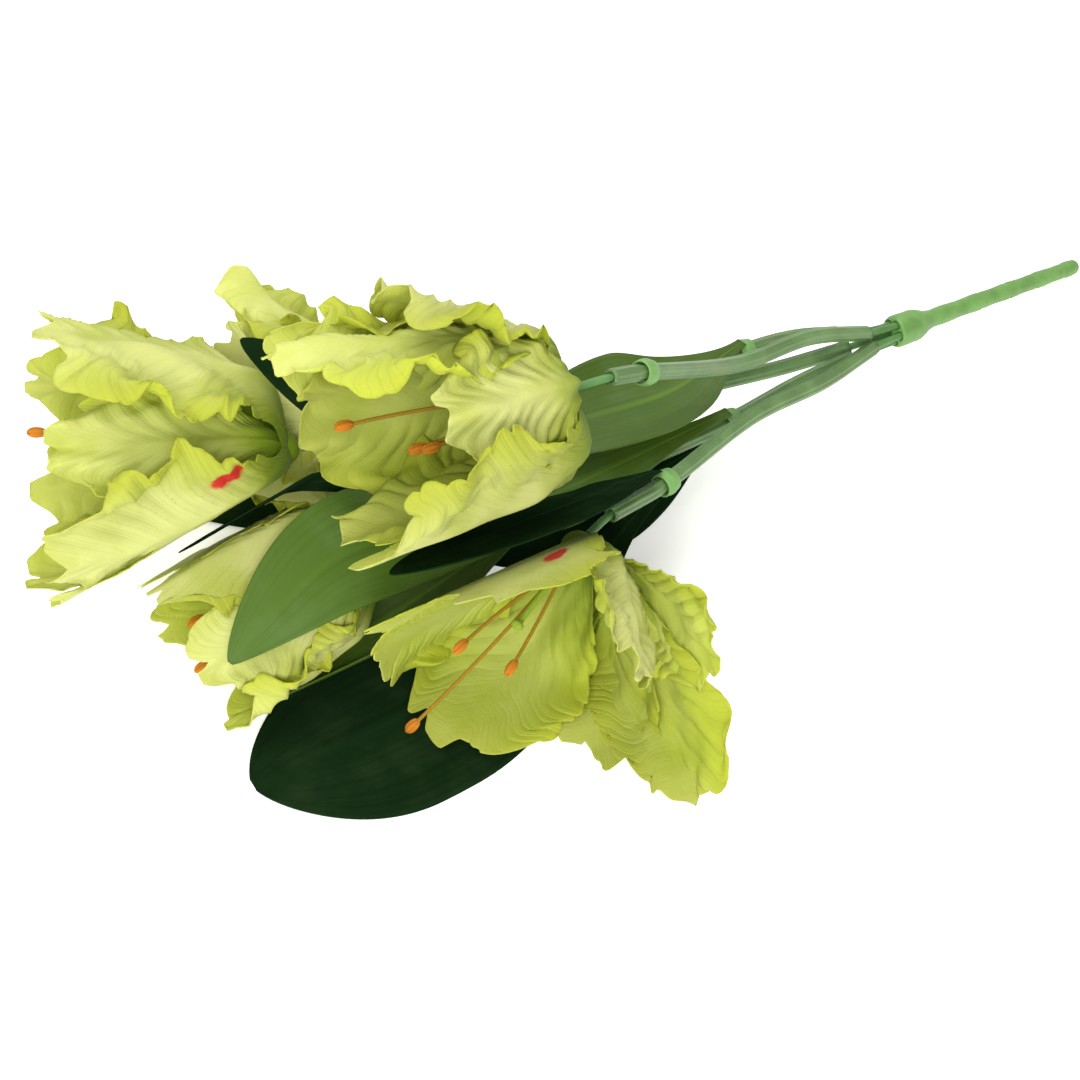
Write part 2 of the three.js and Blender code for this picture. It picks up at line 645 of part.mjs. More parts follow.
// A collar is centred between two stations, so it sits square on its sleeve.
function collar({ stem, station }) {
  const at = station / STEM_STATIONS;
  const half = COLLAR_LENGTH / 2;
  const profile = [
    [COLLAR_BORE, -half], [0.86 * COLLAR_RADIUS, -half], [COLLAR_RADIUS, -0.4 * half],
    [COLLAR_RADIUS, 0.4 * half], [0.86 * COLLAR_RADIUS, half], [COLLAR_BORE, half], [COLLAR_BORE, -half],
  ];
  const ring = new THREE.LatheGeometry(profile.map(([radius, y]) => new THREE.Vector2(radius, y)), 8);
  return toSolid(placeAlong(ring, stemCurves[stem].getTangentAt(at), stemCurves[stem].getPointAt(at)));
}

for (const key of Object.keys(stems)) {
  const section = new THREE.Shape(polygon(() => STEM_RADIUS, 5));
  addPiece(`stem_${key}`, alongPath(stations(key, 0, STEM_STATIONS), section, STEM_STATIONS), 'stem');
  addPiece(`sleeve_${key}`, ridgedSleeve(key), 'sleeve');
}
for (const [name, spec] of Object.entries(collars)) addPiece(name, collar(spec), 'collar');

// ---------------------------------------------------------------- leaves

// The root of a leaf stands just clear of the side of its collar.
function leafRoot({ collar: name, side }) {
  const { stem, station } = collars[name];
  const at = station / STEM_STATIONS;
  const along = stemCurves[stem].getTangentAt(at);
  const outwards = vec(side).addScaledVector(along, -vec(side).dot(along)).normalize();
  const distance = COLLAR_RADIUS + GAP + 0.5 * BLADE_THICK;
  return stemCurves[stem].getPointAt(at).addScaledVector(along, 2).addScaledVector(outwards, distance);
}

function leafHalfWidth(t, { shoulder, full = 0.45 }) {
  const taper = Math.cos(0.5 * Math.PI * clamp01((t - full) / (1.002 - full))) ** 0.62;
  return Math.max(0.05, mix(0.09, 1, smooth(t / shoulder)) * taper);
}

function leafSurface(name, leaf) {
  const spine = new THREE.CatmullRomCurve3([leafRoot(leaf), ...leaf.spine.map(vec)], false, 'centripetal');
  const half = leaf.wide / 2;
  const [rootSide, tipSide] = leaf.across.map(vec);
  const beds = leafBeds.filter((bed) => bed.leaf === name).map(bedPlane);
  return (share, v) => {
    const u = 1 - (1 - share) ** LEAF_TIP_CROWDING;
    const point = spine.getPointAt(u);
    const forward = spine.getTangentAt(u);
    const sideways = rootSide.clone().lerp(tipSide, u);
    sideways.addScaledVector(forward, -sideways.dot(forward)).normalize();
    const face = sideways.clone().cross(forward);
    const width = half * leafHalfWidth(u, leaf);
    const cup = leaf.cup * mix(0.05, 1, smooth(u / 0.3)) * DEG;
    const wave = leaf.wave * v ** 2 * Math.sin(3.2 * Math.PI * u + Math.sign(v)) * smooth(u / 0.3);
    point.addScaledVector(sideways, (width * Math.sin(cup * v)) / cup);
    point.addScaledVector(face, (width * (1 - Math.cos(cup * v))) / cup + wave * (width / half));
    if (leaf.between) {
      const [first, second, from] = leaf.between;
      const { normal, offset } = partingPlane(first, second);
      const depth = normal.dot(point) - offset;
      const kept = LEAF_SWAY * Math.tanh(depth / LEAF_SWAY);
      point.addScaledVector(normal, (kept - depth) * smooth(u / from));
    }
    for (const bed of beds) {
      point.lerp(press(point.clone(), [bed], LEAF_REACH, LEAF_MARGIN), smooth((u - bed.from) / 0.15));
    }
    return settle(point);
  };
}

for (const [name, leaf] of Object.entries(leaves)) {
  addPiece(name, onTable(bladeSolid(leafSurface(name, leaf), LEAF_GRID)), leaf.finish);
}

export default group;
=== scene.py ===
"""Artificial parrot tulip bunch: pleated silk blooms, coated leaves and ridged sleeves on one
moulded main stem, lying on its side."""

import math

import bpy
import numpy as np
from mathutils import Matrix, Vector


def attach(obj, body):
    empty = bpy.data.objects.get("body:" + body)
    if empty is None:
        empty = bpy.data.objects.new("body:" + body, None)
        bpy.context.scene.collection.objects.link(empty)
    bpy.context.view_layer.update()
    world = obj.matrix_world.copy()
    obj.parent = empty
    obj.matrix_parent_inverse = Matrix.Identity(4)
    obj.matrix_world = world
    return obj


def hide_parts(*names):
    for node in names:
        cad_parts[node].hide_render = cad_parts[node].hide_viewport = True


bl_info = {
    "name": "Parrot Tulip Bunch",
    "version": (1, 0, 0),
    "blender": (4, 5, 0),
    "location": "View3D > Sidebar > Tulips",
    "description": "Dresses an artificial parrot tulip bunch in silk, coated cloth and moulded plastic",
    "category": "Object",
}

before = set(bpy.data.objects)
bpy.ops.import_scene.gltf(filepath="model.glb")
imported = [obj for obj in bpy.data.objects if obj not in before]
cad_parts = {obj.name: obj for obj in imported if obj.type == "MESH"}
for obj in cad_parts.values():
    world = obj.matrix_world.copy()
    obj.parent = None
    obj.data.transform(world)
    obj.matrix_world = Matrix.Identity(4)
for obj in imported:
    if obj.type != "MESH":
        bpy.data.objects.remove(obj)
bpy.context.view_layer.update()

MM = 0.001
DEG = math.pi / 180
UP = np.array([0.0, 0.0, 1.0])

# ------------------------------------------------------------------ form, in millimetres
# Places are measured from the end of the main stem, and FOOT_SETBACK moves them all.

FOOT_SETBACK = 3.2
MAIN_TIP = np.array([0.0, 0.0, 2.0])
MAIN_HUB = np.array([-104.0, -8.5, 21.5])
MAIN_TIP_RADIUS = 3.2
MAIN_TOP_RADIUS = 3.9
HUB_RADIUS = 6.7
HUB_LENGTH = 17.0
RING_MARKS = (9.0, 26.0, 42.0, 57.0)
SOCKET_CIRCLE = 3.9
SOCKET_RADIUS = 1.95
SOCKET_DEPTH = 11.0

STEM_RADIUS = 1.5
STEM_STATIONS = 16
STATION_STEPS = 6             # a stem's or sleeve's points from one station to the next
SLEEVE_STATIONS = (2, 15)
COLLAR_BORE = 3.95
COLLAR_RADIUS = 5.1
COLLAR_LENGTH = 7.0
CAD_BLADE = 0.9               # the solids' blades, which set where a leaf's root stands
GAP = 0.3

RECEPTACLE_RADIUS = 6.5
PETAL_ROOT_RADIUS = 2.5
PETAL_SETBACK = 3.5           # petals start behind the receptacle's middle
BOWL_SHARE = 0.34             # share of its length over which a petal turns upright
PATH_STEPS = 24
ROOT_WIDTH, TIP_WIDTH = 0.25, 0.84    # shares of a petal's greatest half width
ROOT_CUP = 46.0               # how far a petal's side is bent round at its root, degrees
TIP_ROUNDING = 0.25           # how much shorter a petal is at its sides than in the middle
RUFFLE = 5.0

PLEAT_SLANT = 0.42            # how far forward a pleat has run when it reaches the edge
PLEAT_DRIFT = 0.45            # how unevenly the pleats are spaced, in pleats
PLEAT_DRAWS = 64              # the pleats' random sizes repeat after so many
TIP_PLEATS = 0.32             # pleats round half the tip, for each pleat along a side
PLEAT_DEPTH = 1.9
MIDRIB_DEPTH = 0.8
FOLD_HEIGHT = 1.0
CRUMPLE_HEIGHT, CRUMPLES = 0.4, 5
TIP_LOBE, SIDE_LOBE, TOOTH = 0.04, 0.07, 0.02
TIP_SCALLOP, TIP_FRILL = 0.34, 0.4    # shares of the scallops and the frill along the sides

SETTLE_HEIGHT = 6.0
FLOOR_SLOPE = 15.0
HEART_DEPTH = 50.0
PRESS_REACH, PRESS_MARGIN = 10.0, 1.6
LEAF_REACH, LEAF_MARGIN = 4.0, 0.6
LEAF_SWAY = 0.5
LEAF_TIP_CROWDING = 1.6       # rows stand closer towards a leaf's tip
LEAF_ROOT_WIDTH = 0.09        # share of a leaf's greatest half width
LEAF_VEINS, LEAF_VEIN_HEIGHT = 5.5, 0.12
LEAF_MIDRIB_DEPTH = 0.55
LEAF_SAG = 0.5

PETAL_GRID = (100, 54)
LEAF_GRID = (80, 28)
TUBE_SIDES = 48
WIRE_SIDES = 20
LATHE_SIDES = 64
RECEPTACLE_SIDES = 32
PISTIL_SIDES = 24
SOCKET_SIDES = 24


def petal(turn, lean, long, wide, cup, roll, wave, twist=0, ruffle=1.0, splash=None):
    """One petal: turn is its place round the bloom, and lean its angles from the bloom's aim
    at the root, above the bowl and at the tip. A red splash is given by its middle, as shares
    of the length and of the half width, and by its reach along and across the petal."""
    return dict(turn=turn, lean=lean, long=long, wide=wide, cup=cup, roll=roll, wave=wave,
                twist=twist, ruffle=ruffle, splash=splash)


def filament(turn, lean, long):
    """One stamen's filament, with its turn and leans as a petal's."""
    return dict(turn=turn, lean=lean, long=long)


BLOOMS = {
    "a": dict(
        base=(-366, 16, 72), aim=(-0.93, 0.36, 0.05), floor=0, floor_edge=-400,
        petals=[
            petal(24, (92, 20, 14), 112, 76, 42, 0.3, 1.1),
            petal(-84, (92, 18, 16), 114, 66, 42, 0.3, 2.3, splash=(0.45, 0.68, 0.06, 0.22)),
            petal(150, (92, 14, 2), 120, 62, 34, 0.2, 0.4),
            petal(-30, (60, 12, 6), 96, 48, 36, 0.4, 3.6),
            petal(88, (74, 12, 8), 110, 56, 34, 0.2, 5.1),
            petal(-166, (76, 16, 10), 118, 60, 32, 0.2, 2.9),
            petal(-130, (80, 20, 16), 110, 52, 36, 0.2, 1.8),
        ],
        stamens=[filament(46, (12, 10, 4), 80), filament(90, (12, 12, 4), 56),
                 filament(-30, (10, 8, 0), 46)],
    ),
    "b": dict(
        base=(-323, 22, 38), aim=(-0.64, 0.70, 0.30), floor=5, floor_edge=-400,
        petals=[
            petal(-34, (88, 12, 4), 100, 66, 44, 0.3, 0.7),
            petal(30, (84, 14, 10), 102, 52, 40, 0.2, 2.5),
            petal(86, (84, 6, 0), 94, 50, 36, 0.2, 4.3),
            petal(160, (84, 8, 0), 94, 62, 38, 0.2, 5.6),
            petal(-112, (84, 16, 8), 90, 64, 42, 0.2, 3.2),
        ],
        stamens=[filament(-60, (10, 6, 0), 56), filament(60, (12, 6, 0), 52),
                 filament(180, (10, 8, 0), 54)],
    ),
    "c": dict(
        base=(-282, -41, 110), aim=(-0.99, 0.11, 0.05), floor=63, floor_edge=-400,
        petals=[
            petal(44, (90, 30, 26), 82, 72, 40, 0.3, 0.9),
            petal(22, (66, 14, 6), 118, 56, 36, 0.4, 2.0),
            petal(78, (74, 12, 12), 116, 58, 34, 0.2, 4.7),
            petal(122, (76, 12, 4), 108, 60, 30, 0.2, 0.2),
            petal(-160, (70, 10, 6), 104, 60, 32, 0.2, 5.4),
            petal(-38, (94, 22, 10), 74, 54, 46, 0.3, 2.6),
            petal(-100, (94, 15, 14), 124, 64, 38, 0.2, 3.1),
        ],
        stamens=[filament(-175, (10, 10, 4), 46), filament(-150, (12, 10, 2), 42),
                 filament(60, (10, 8, 2), 70)],
    ),
    "d": dict(
        base=(-290, -69, 58), aim=(-0.90, -0.39, -0.20), floor=5, floor_edge=-100,
        petals=[
            petal(10, (100, 54, 48), 96, 76, 40, 0.4, 3.3, splash=(0.52, -0.25, 0.09, 0.2)),
            petal(70, (88, 50, 44), 122, 64, 36, 0.4, 1.4),
            petal(106, (78, 28, 18), 110, 56, 34, 0.2, 5.2),
            petal(168, (84, 30, 18), 114, 64, 28, 0.1, 0.6, ruffle=0.7),
            petal(-162, (92, 54, 42), 120, 66, 24, 0.1, 2.2, twist=-10, ruffle=0.6),
            petal(-136, (94, 60, 42), 116, 66, 22, 0.1, 4.4, twist=-24, ruffle=0.5),
            petal(-60, (92, 50, 42), 84, 46, 40, 0.3, 1.0, ruffle=0.6),
            petal(-104, (98, 78, 62), 68, 54, 24, 0.1, 3.7, twist=-24, ruffle=0.3),
        ],
        stamens=[filament(146, (12, 22, 46), 82), filament(60, (10, 14, 8), 50),
                 filament(-150, (12, 14, 8), 42)],
    ),
    "e": dict(
        base=(-354, -19, 40), aim=(-0.96, 0.04, -0.18), floor=13, floor_edge=-400,
        petals=[
            petal(66, (84, 24, 18), 102, 58, 34, 0.2, 2.4),
            petal(142, (84, 10, 0), 100, 60, 36, 0.2, 4.9),
            petal(-126, (84, 13, 8), 92, 60, 38, 0.2, 3.5),
            petal(-56, (84, 10, 0), 90, 52, 42, 0.2, 1.6),
            petal(6, (84, 22, 16), 98, 58, 38, 0.2, 5.8),
        ],
        stamens=[filament(150, (10, 8, 4), 60), filament(-100, (10, 10, 4), 62),
                 filament(40, (10, 8, 0), 56)],
    ),
}

# Neighbouring blooms press each other flat along a plane between their hearts, given as
# the share of the way from the first heart to the second.
TOUCHING_BLOOMS = (
    ("a", "b", 0.64), ("a", "c", 0.5), ("a", "e", 0.52), ("b", "c", 0.5),
    ("b", "e", 0.5), ("c", "d", 0.49), ("c", "e", 0.5), ("d", "e", 0.5),
)

# A leaf against a bloom presses it flat along a plane, from a share of its length on.
LEAF_BEDS = (
    dict(leaf="leaf_4", bloom="d", start=0.15, point=(-310, -47, 68), normal=(0.06, 0.54, 0.84)),
    dict(leaf="leaf_4", bloom="c", start=0.15, point=(-332, -61, 82.3),
         normal=(-0.11, -0.63, -0.77)),
    dict(leaf="leaf_3", bloom="e", start=0.6, point=(-387, -35, 53), normal=(0, -0.51, 0.86)),
    dict(leaf="leaf_3", bloom="d", start=0.3, point=(-325, -48, 46), normal=(0, 0.8, 0.6)),
    dict(leaf="leaf_6", bloom="d", start=0.15, point=(-342, -46, 20), normal=(0, 0.95, 0.3)),
)

STEMS = {
    "a": dict(socket=23, bends=[(-150, 4, 30), (-190, 2, 36), (-290, 1, 42)], neck=26),
    "b": dict(socket=-49, bends=[(-150, 0, 18), (-200, 6, 22), (-270, 7, 24)], neck=26),
    "c": dict(socket=95, bends=[(-150, -13, 46), (-190, -22, 60)], neck=22),
    "d": dict(socket=167, bends=[(-150, -25, 32), (-190, -34, 42), (-244, -54, 52)], neck=12),
    "e": dict(socket=-121, bends=[(-150, -13, 22), (-208, -28, 36), (-288, -26, 37)], neck=18),
}

COLLARS = {
    "collar_1": ("a", 4.5), "collar_2": ("a", 13.5), "collar_3": ("b", 11.5),
    "collar_4": ("c", 13.5), "collar_5": ("d", 12.5), "collar_6": ("e", 6.5),
    "collar_7": ("e", 11.5),
}

LEAVES = {
    "leaf_1": dict(
        collar="collar_1", side=(0, 0, 1),
        spine=[(-215, -12, 48), (-250, -12, 53), (-296, -4, 53)],
        across=[(0, -1, 0), (0, -1, 0)], wide=48, cup=-24, shoulder=0.5, wave=2, slot="mid_leaf"),
    "leaf_2": dict(
        collar="collar_6", side=(0, 0.2, -1),
        spine=[(-240, -29, 25), (-280, -26, 19), (-312, -18, 16)],
        across=[(0, -1, -0.2), (0, -1, -0.2)], wide=44, cup=-15, shoulder=0.5, wave=2,
        slot="dark_leaf"),
    "leaf_3": dict(
        collar="collar_6", side=(0, 0, 1),
        spine=[(-250, -32, 45), (-290, -33, 47), (-335, -28, 53), (-370, -29, 57),
               (-419, -46, 47)],
        across=[(0, 1, 0), (0, 0.86, 0.51)], wide=50, cup=-28, shoulder=0.62, full=0.6, wave=0.8,
        slot="mid_leaf"),
    "leaf_4": dict(
        collar="collar_5", side=(0, 0.63, 0.77),
        spine=[(-270, -60, 71), (-310, -64, 78.5), (-364, -70, 79)],
        across=[(0, -0.84, 0.54), (0, -0.84, 0.54)], wide=50, cup=4, shoulder=0.5, wave=2,
        slot="dark_leaf"),
    "leaf_5": dict(
        collar="collar_5", side=(0, 0.4, -0.9),
        spine=[(-262, -50, 26), (-284, -54, 4), (-306, -56, -7), (-350, -65, -12),
               (-424, -66, -4)],
        across=[(0, -1, 0), (0.1, -1, 0)], wide=80, cup=6, shoulder=0.66, full=0.72, wave=2,
        slot="dark_leaf"),
    "leaf_6": dict(
        collar="collar_7", side=(0, 0, -1),
        spine=[(-330, -27, 13), (-370, -31, 8), (-420, -41, 7)],
        across=[(0, -1, 0), (0, -1, 0)], wide=48, cup=-14, shoulder=0.6, wave=1,
        slot="mid_leaf"),
    "leaf_7": dict(
        collar="collar_2", side=(0, -0.9, -0.3), between=("a", "e", 0.6),
        spine=[(-345, -8, 59), (-362, -2, 61), (-381, 4, 56), (-412, 10, 43)],
        across=[(0, -0.8, -0.6), (0, 0.62, -0.77)], wide=33, cup=4, shoulder=0.75, wave=1,
        slot="dark_leaf"),
    "leaf_8": dict(
        collar="collar_2", side=(0.1, -0.5, 0.86), between=("b", "c", 0.2),
        spine=[(-335, 9, 78), (-352, 18, 98), (-372, 30, 120)],
        across=[(0.7, 0.6, 0.3), (0.7, 0.6, 0.3)], wide=21, cup=4, shoulder=0.5, wave=1,
        slot="dark_leaf"),
    "leaf_9": dict(
        collar="collar_3", side=(0, 0.3, -0.9),
        spine=[(-290, 28, 6), (-335, 50, -11), (-392, 70, -6)],
        across=[(0.4, -0.9, 0), (0.4, -0.9, 0)], wide=52, cup=6, shoulder=0.5, wave=2,
        slot="dark_leaf"),
}

# ------------------------------------------------------------------ settings


def linear(hex_colour):
    """An sRGB hex colour as linear red, green and blue."""
    parts = [int(hex_colour[k:k + 2], 16) / 255 for k in (1, 3, 5)]
    return tuple(c / 12.92 if c <= 0.04045 else ((c + 0.055) / 1.055) ** 2.4 for c in parts)


def colour_setting(name, hex_colour, description):
    return bpy.props.FloatVectorProperty(
        name=name, description=description, subtype="COLOR", size=3, min=0, max=1,
        default=linear(hex_colour))


class TulipSizes(bpy.types.PropertyGroup):
    """Sizes of the fine detail, in millimetres."""
    petal_thickness: bpy.props.FloatProperty(
        name="Petal thickness", description="Silk cloth of a petal, mm", default=0.35, min=0.1)
    leaf_thickness: bpy.props.FloatProperty(
        name="Leaf thickness", description="Coated cloth of a leaf, mm", default=0.5, min=0.1)
    pleats: bpy.props.IntProperty(
        name="Pleats", description="Pressed pleats along each side of a petal", default=10, min=3)
    scallop: bpy.props.FloatProperty(
        name="Scallop", description="Depth of the edge's scallops, as a share of the half width",
        default=0.1, min=0, max=0.4)
    frill: bpy.props.FloatProperty(
        name="Frill", description="Height of the small waves at a petal's edge, mm", default=1.9)
    ridges: bpy.props.IntProperty(
        name="Sleeve ridges", description="Ridges round a stem sleeve", default=8, min=3)
    ridge_depth: bpy.props.FloatProperty(
        name="Ridge depth", description="Depth between a sleeve's ridges, mm", default=0.45)
    sleeve_radius: bpy.props.FloatProperty(
        name="Sleeve radius", description="Outer radius of a stem sleeve, mm", default=3.2)
    sleeve_wall: bpy.props.FloatProperty(
        name="Sleeve wall", description="Wall thickness of a stem sleeve, mm", default=0.9)


class TulipColours(bpy.types.PropertyGroup):
    """Colours of the cloth and the plastic."""
    petal_lime: colour_setting("Petal lime", "#b0ba30", "Middle of a petal's outer face")
    petal_inner: colour_setting("Petal inside", "#b2c02e", "Middle of a petal's inner face")
    petal_cream: colour_setting("Petal cream", "#d9dc8a", "Faded middle of a petal's outer face")
    petal_edge: colour_setting("Petal edge", "#c8cc46", "Yellow-green rim of a petal")
    petal_heart: colour_setting("Petal heart", "#6a860c", "Green at a petal's root")
    splash: colour_setting("Splash", "#d8362c", "Red splash on an outer petal")
    filament: colour_setting("Filament", "#8c701a", "Stamens' filaments")
    anther: colour_setting("Anther", "#b8701c", "Flocked anthers")
    pistil: colour_setting("Pistil", "#7c9a2c", "Pistil")
    dark_leaf: colour_setting("Dark leaf", "#132612", "Coated dark leaves")
    mid_leaf: colour_setting("Mid leaf", "#405a12", "Printed mid-green leaves")
    main_stem: colour_setting("Main stem", "#689648", "Moulded main stem")
    stem: colour_setting("Stem", "#4f7f3c", "Plastic-coated wire")
    sleeve: colour_setting("Sleeve", "#5f8048", "Ridged stem sleeves")
    collar: colour_setting("Collar", "#6c9c50", "Moulded leaf collars")
    backdrop: colour_setting("Backdrop", "#fbfbf8", "Floor and surroundings")


# ------------------------------------------------------------------ curves and frames


def smooth(x):
    x = np.clip(x, 0, 1)
    return x * x * (3 - 2 * x)


def mix(a, b, t):
    return a + (b - a) * t


def unit(vectors):
    vectors = np.asarray(vectors, float)
    return vectors / np.linalg.norm(vectors, axis=-1, keepdims=True)


def square_to(vector, direction):
    """The part of a vector that is square to a unit direction, as a unit vector."""
    return unit(vector - direction * np.sum(vector * direction, -1, keepdims=True))


class Route:
    """A smooth centripetal curve through its points, followed by share of its length."""
    DIVISIONS = 200

    def __init__(self, points):
        inner = np.array(points, float)
        first, last = 2 * inner[0] - inner[1], 2 * inner[-1] - inner[-2]
        self.points = np.vstack([first, inner, last])
        self.knots = len(inner) - 1
        self.shares = np.linspace(0, 1, self.DIVISIONS + 1)
        steps = np.linalg.norm(np.diff(self.bend(self.shares), axis=0), axis=1)
        self.lengths = np.concatenate([[0], np.cumsum(steps)])

    def bend(self, t):
        """Points at values of the curve's own parameter, from 0 to 1."""
        place = np.clip(np.atleast_1d(t), 0, 1) * self.knots
        k = np.minimum(place.astype(int), self.knots - 1)
        w = (place - k)[:, None]
        p0, p1, p2, p3 = (self.points[k + n] for n in range(4))
        d0, d1, d2 = (np.sqrt(np.linalg.norm(b - a, axis=1, keepdims=True))
                      for a, b in ((p0, p1), (p1, p2), (p2, p3)))
        m1 = ((p1 - p0) / d0 - (p2 - p0) / (d0 + d1) + (p2 - p1) / d1) * d1
        m2 = ((p2 - p1) / d1 - (p3 - p1) / (d1 + d2) + (p3 - p2) / d2) * d1
        c2, c3 = -3 * p1 + 3 * p2 - 2 * m1 - m2, 2 * p1 - 2 * p2 + m1 + m2
        return p1 + m1 * w + c2 * w ** 2 + c3 * w ** 3

    def own(self, share):
        return np.interp(np.atleast_1d(share) * self.lengths[-1], self.lengths, self.shares)

    def at(self, share):
        return self.bend(self.own(share))

    def tangent(self, share):
        t = self.own(share)
        step = 1e-4
        return unit(self.bend(t + step) - self.bend(t - step))


def bloom_axes(bloom):
    """The bloom's aim, the direction of turn 0 and the direction of turn 90."""
    aim = unit(bloom["aim"])
    up = square_to(UP, aim)
    return aim, up, np.cross(aim, up)


def leaning_path(bloom, shape, start):
    """Stations along a petal or filament: points, sideways and inward directions."""
    aim, up, side = bloom_axes(bloom)
    turn = shape["turn"] * DEG
    radial = up * math.cos(turn) + side * math.sin(turn)
    across = np.cross(aim, radial)
    t = np.linspace(0, 1, PATH_STEPS + 1)[:, None]
    root, middle, tip = shape["lean"]
    upright = mix(middle, tip, np.clip((t - BOWL_SHARE) / (1 - BOWL_SHARE), 0, 1))
    lean = mix(root, upright, smooth(t / BOWL_SHARE)) * DEG
    forward = aim * np.cos(lean) + radial * np.sin(lean)
    twist = shape.get("twist", 0) * smooth(t) * DEG
    sideways = across * np.cos(twist) + np.cross(forward, across) * np.sin(twist)
    steps = forward * shape["long"] / PATH_STEPS
    points = start(radial) + np.vstack([np.zeros(3), np.cumsum(steps[:-1], axis=0)])
    return points, sideways, np.cross(forward, sideways)


def on_path(stations, t):
    """The point, sideways and inward directions at shares t of a leaning path."""
    place = np.clip(t, 0, 1) * PATH_STEPS
    k = np.minimum(place.astype(int), PATH_STEPS - 1)
    f = (place - k)[..., None]
    points, sideways, inward = (mix(rows[k], rows[k + 1], f) for rows in stations)
    return points, unit(sideways), unit(inward)


# ------------------------------------------------------------------ what presses what


def heart(key):
    """The middle of a bloom, from which its neighbours' parting planes are measured."""
    return np.array(BLOOMS[key]["base"], float) + unit(BLOOMS[key]["aim"]) * HEART_DEPTH


def parting_plane(first, second):
    """The plane between two blooms, facing the first, as (normal, offset)."""
    share = next(s for one, two, s in TOUCHING_BLOOMS if (one, two) == (first, second))
    normal = unit(heart(first) - heart(second))
    return normal, normal @ mix(heart(first), heart(second), share)


def bed_plane(bed):
    normal = unit(bed["normal"])
    return normal, normal @ np.array(bed["point"], float)


def flipped(plane):
    """The same plane, facing the other way."""
    return -plane[0], -plane[1]


def press_planes(key):
    """All planes that press a bloom's petals, each facing the bloom."""
    planes = []
    for first, second, _ in TOUCHING_BLOOMS:
        if key == first:
            planes.append(parting_plane(first, second))
        if key == second:
            planes.append(flipped(parting_plane(first, second)))
    planes += [flipped(bed_plane(bed)) for bed in LEAF_BEDS if bed["bloom"] == key]
    return planes


def press(points, planes, reach=PRESS_REACH, margin=PRESS_MARGIN):
    """Points nearer than the reach are pressed together, down to the margin."""
    soft = reach - margin
    for normal, offset in planes:
        depth = points @ normal - offset
        kept = np.where(depth < reach, margin + soft * np.exp((depth - reach) / soft), depth)
        points = points + normal * (kept - depth)[..., None]
    return points


def settle(points, floor=0.0):
    """Points near the floor are flattened softly, so that none goes below it."""
    height = points[..., 2] - floor
    low = floor + SETTLE_HEIGHT * np.exp(np.minimum(height / SETTLE_HEIGHT - 1, 0))
    points[..., 2] = np.where(height < SETTLE_HEIGHT, low, points[..., 2])
    return points


# ------------------------------------------------------------------ meshes


def in_frame(points):
    """Points in millimetres from the main stem's end, as metres in the shared frame."""
    return (np.asarray(points, float) + [FOOT_SETBACK, 0, 0]) * MM


def new_piece(name, points, faces, material, uv=None, attributes=None, flat=()):
    """A mesh object, smooth but for the faces numbered in flat, from points in millimetres."""
    mesh = bpy.data.meshes.new(name)
    mesh.from_pydata(in_frame(points).tolist(), [], faces)
    smooth_faces = np.ones(len(mesh.polygons), bool)
    smooth_faces[list(flat)] = False
    mesh.polygons.foreach_set("use_smooth", smooth_faces)
    if uv is not None:
        corners = np.zeros(len(mesh.loops), int)
        mesh.loops.foreach_get("vertex_index", corners)
        layer = mesh.uv_layers.new(name="Blade")
        layer.data.foreach_set("uv", np.asarray(uv, float)[corners].ravel())
    for key, values in (attributes or {}).items():
        layer = mesh.attributes.new(key, "FLOAT", "POINT")
        layer.data.foreach_set("value", np.asarray(values, np.float32))
    mesh.materials.append(material)
    mesh.update()
    piece = bpy.data.objects.new(name, mesh)
    bpy.context.scene.collection.objects.link(piece)
    return piece


def blade(middle, thickness):
    """Both faces and the rim of a thin blade: points, faces and the rim's face numbers.
    The first half of the points is a petal's inner face."""
    rows, columns = middle.shape[0] - 1, middle.shape[1] - 1
    along_u = np.gradient(middle, axis=0)
    along_v = np.gradient(middle, axis=1)
    normal = unit(np.cross(along_u, along_v))
    points = np.vstack([
        (middle + normal * side * thickness / 2).reshape(-1, 3) for side in (1, -1)])
    back = (rows + 1) * (columns + 1)
    index = np.arange(back).reshape(rows + 1, columns + 1)
    a, b = index[:-1, :-1].ravel(), index[1:, :-1].ravel()
    c, d = index[1:, 1:].ravel(), index[:-1, 1:].ravel()
    faces = [np.stack([a, b, c, d], 1), np.stack([d, c, b, a], 1) + back]
    border = np.concatenate([index[0, :-1], index[:-1, -1], index[-1, :0:-1], index[:0:-1, 0]])
    after = np.roll(border, -1)
    faces.append(np.stack([border, after, after + back, border + back], 1))
    sheet = 2 * rows * columns
    return points, np.vstack(faces).tolist(), range(sheet, sheet + len(border))


def blade_uv(u, v):
    """The UV places of both faces: along the blade, and across it from side to side."""
    return np.tile(np.stack([u.ravel(), (v.ravel() + 1) / 2], 1), (2, 1))


def joined(parts):
    """Joins blades or shells: each part is (points, faces, flat face numbers, uv, attributes)."""
    points, faces, flat, uv, attributes = [], [], [], [], {}
    count, face_count = 0, 0
    for part_points, part_faces, part_flat, part_uv, part_attributes in parts:
        points.append(part_points)
        faces += [[corner + count for corner in face] for face in part_faces]
        flat += [number + face_count for number in part_flat]
        uv.append(part_uv)
        for key, values in part_attributes.items():
            attributes.setdefault(key, []).append(values)
        count += len(part_points)
        face_count += len(part_faces)
    return (np.vstack(points), faces, flat, np.vstack(uv),
            {key: np.concatenate(values) for key, values in attributes.items()})


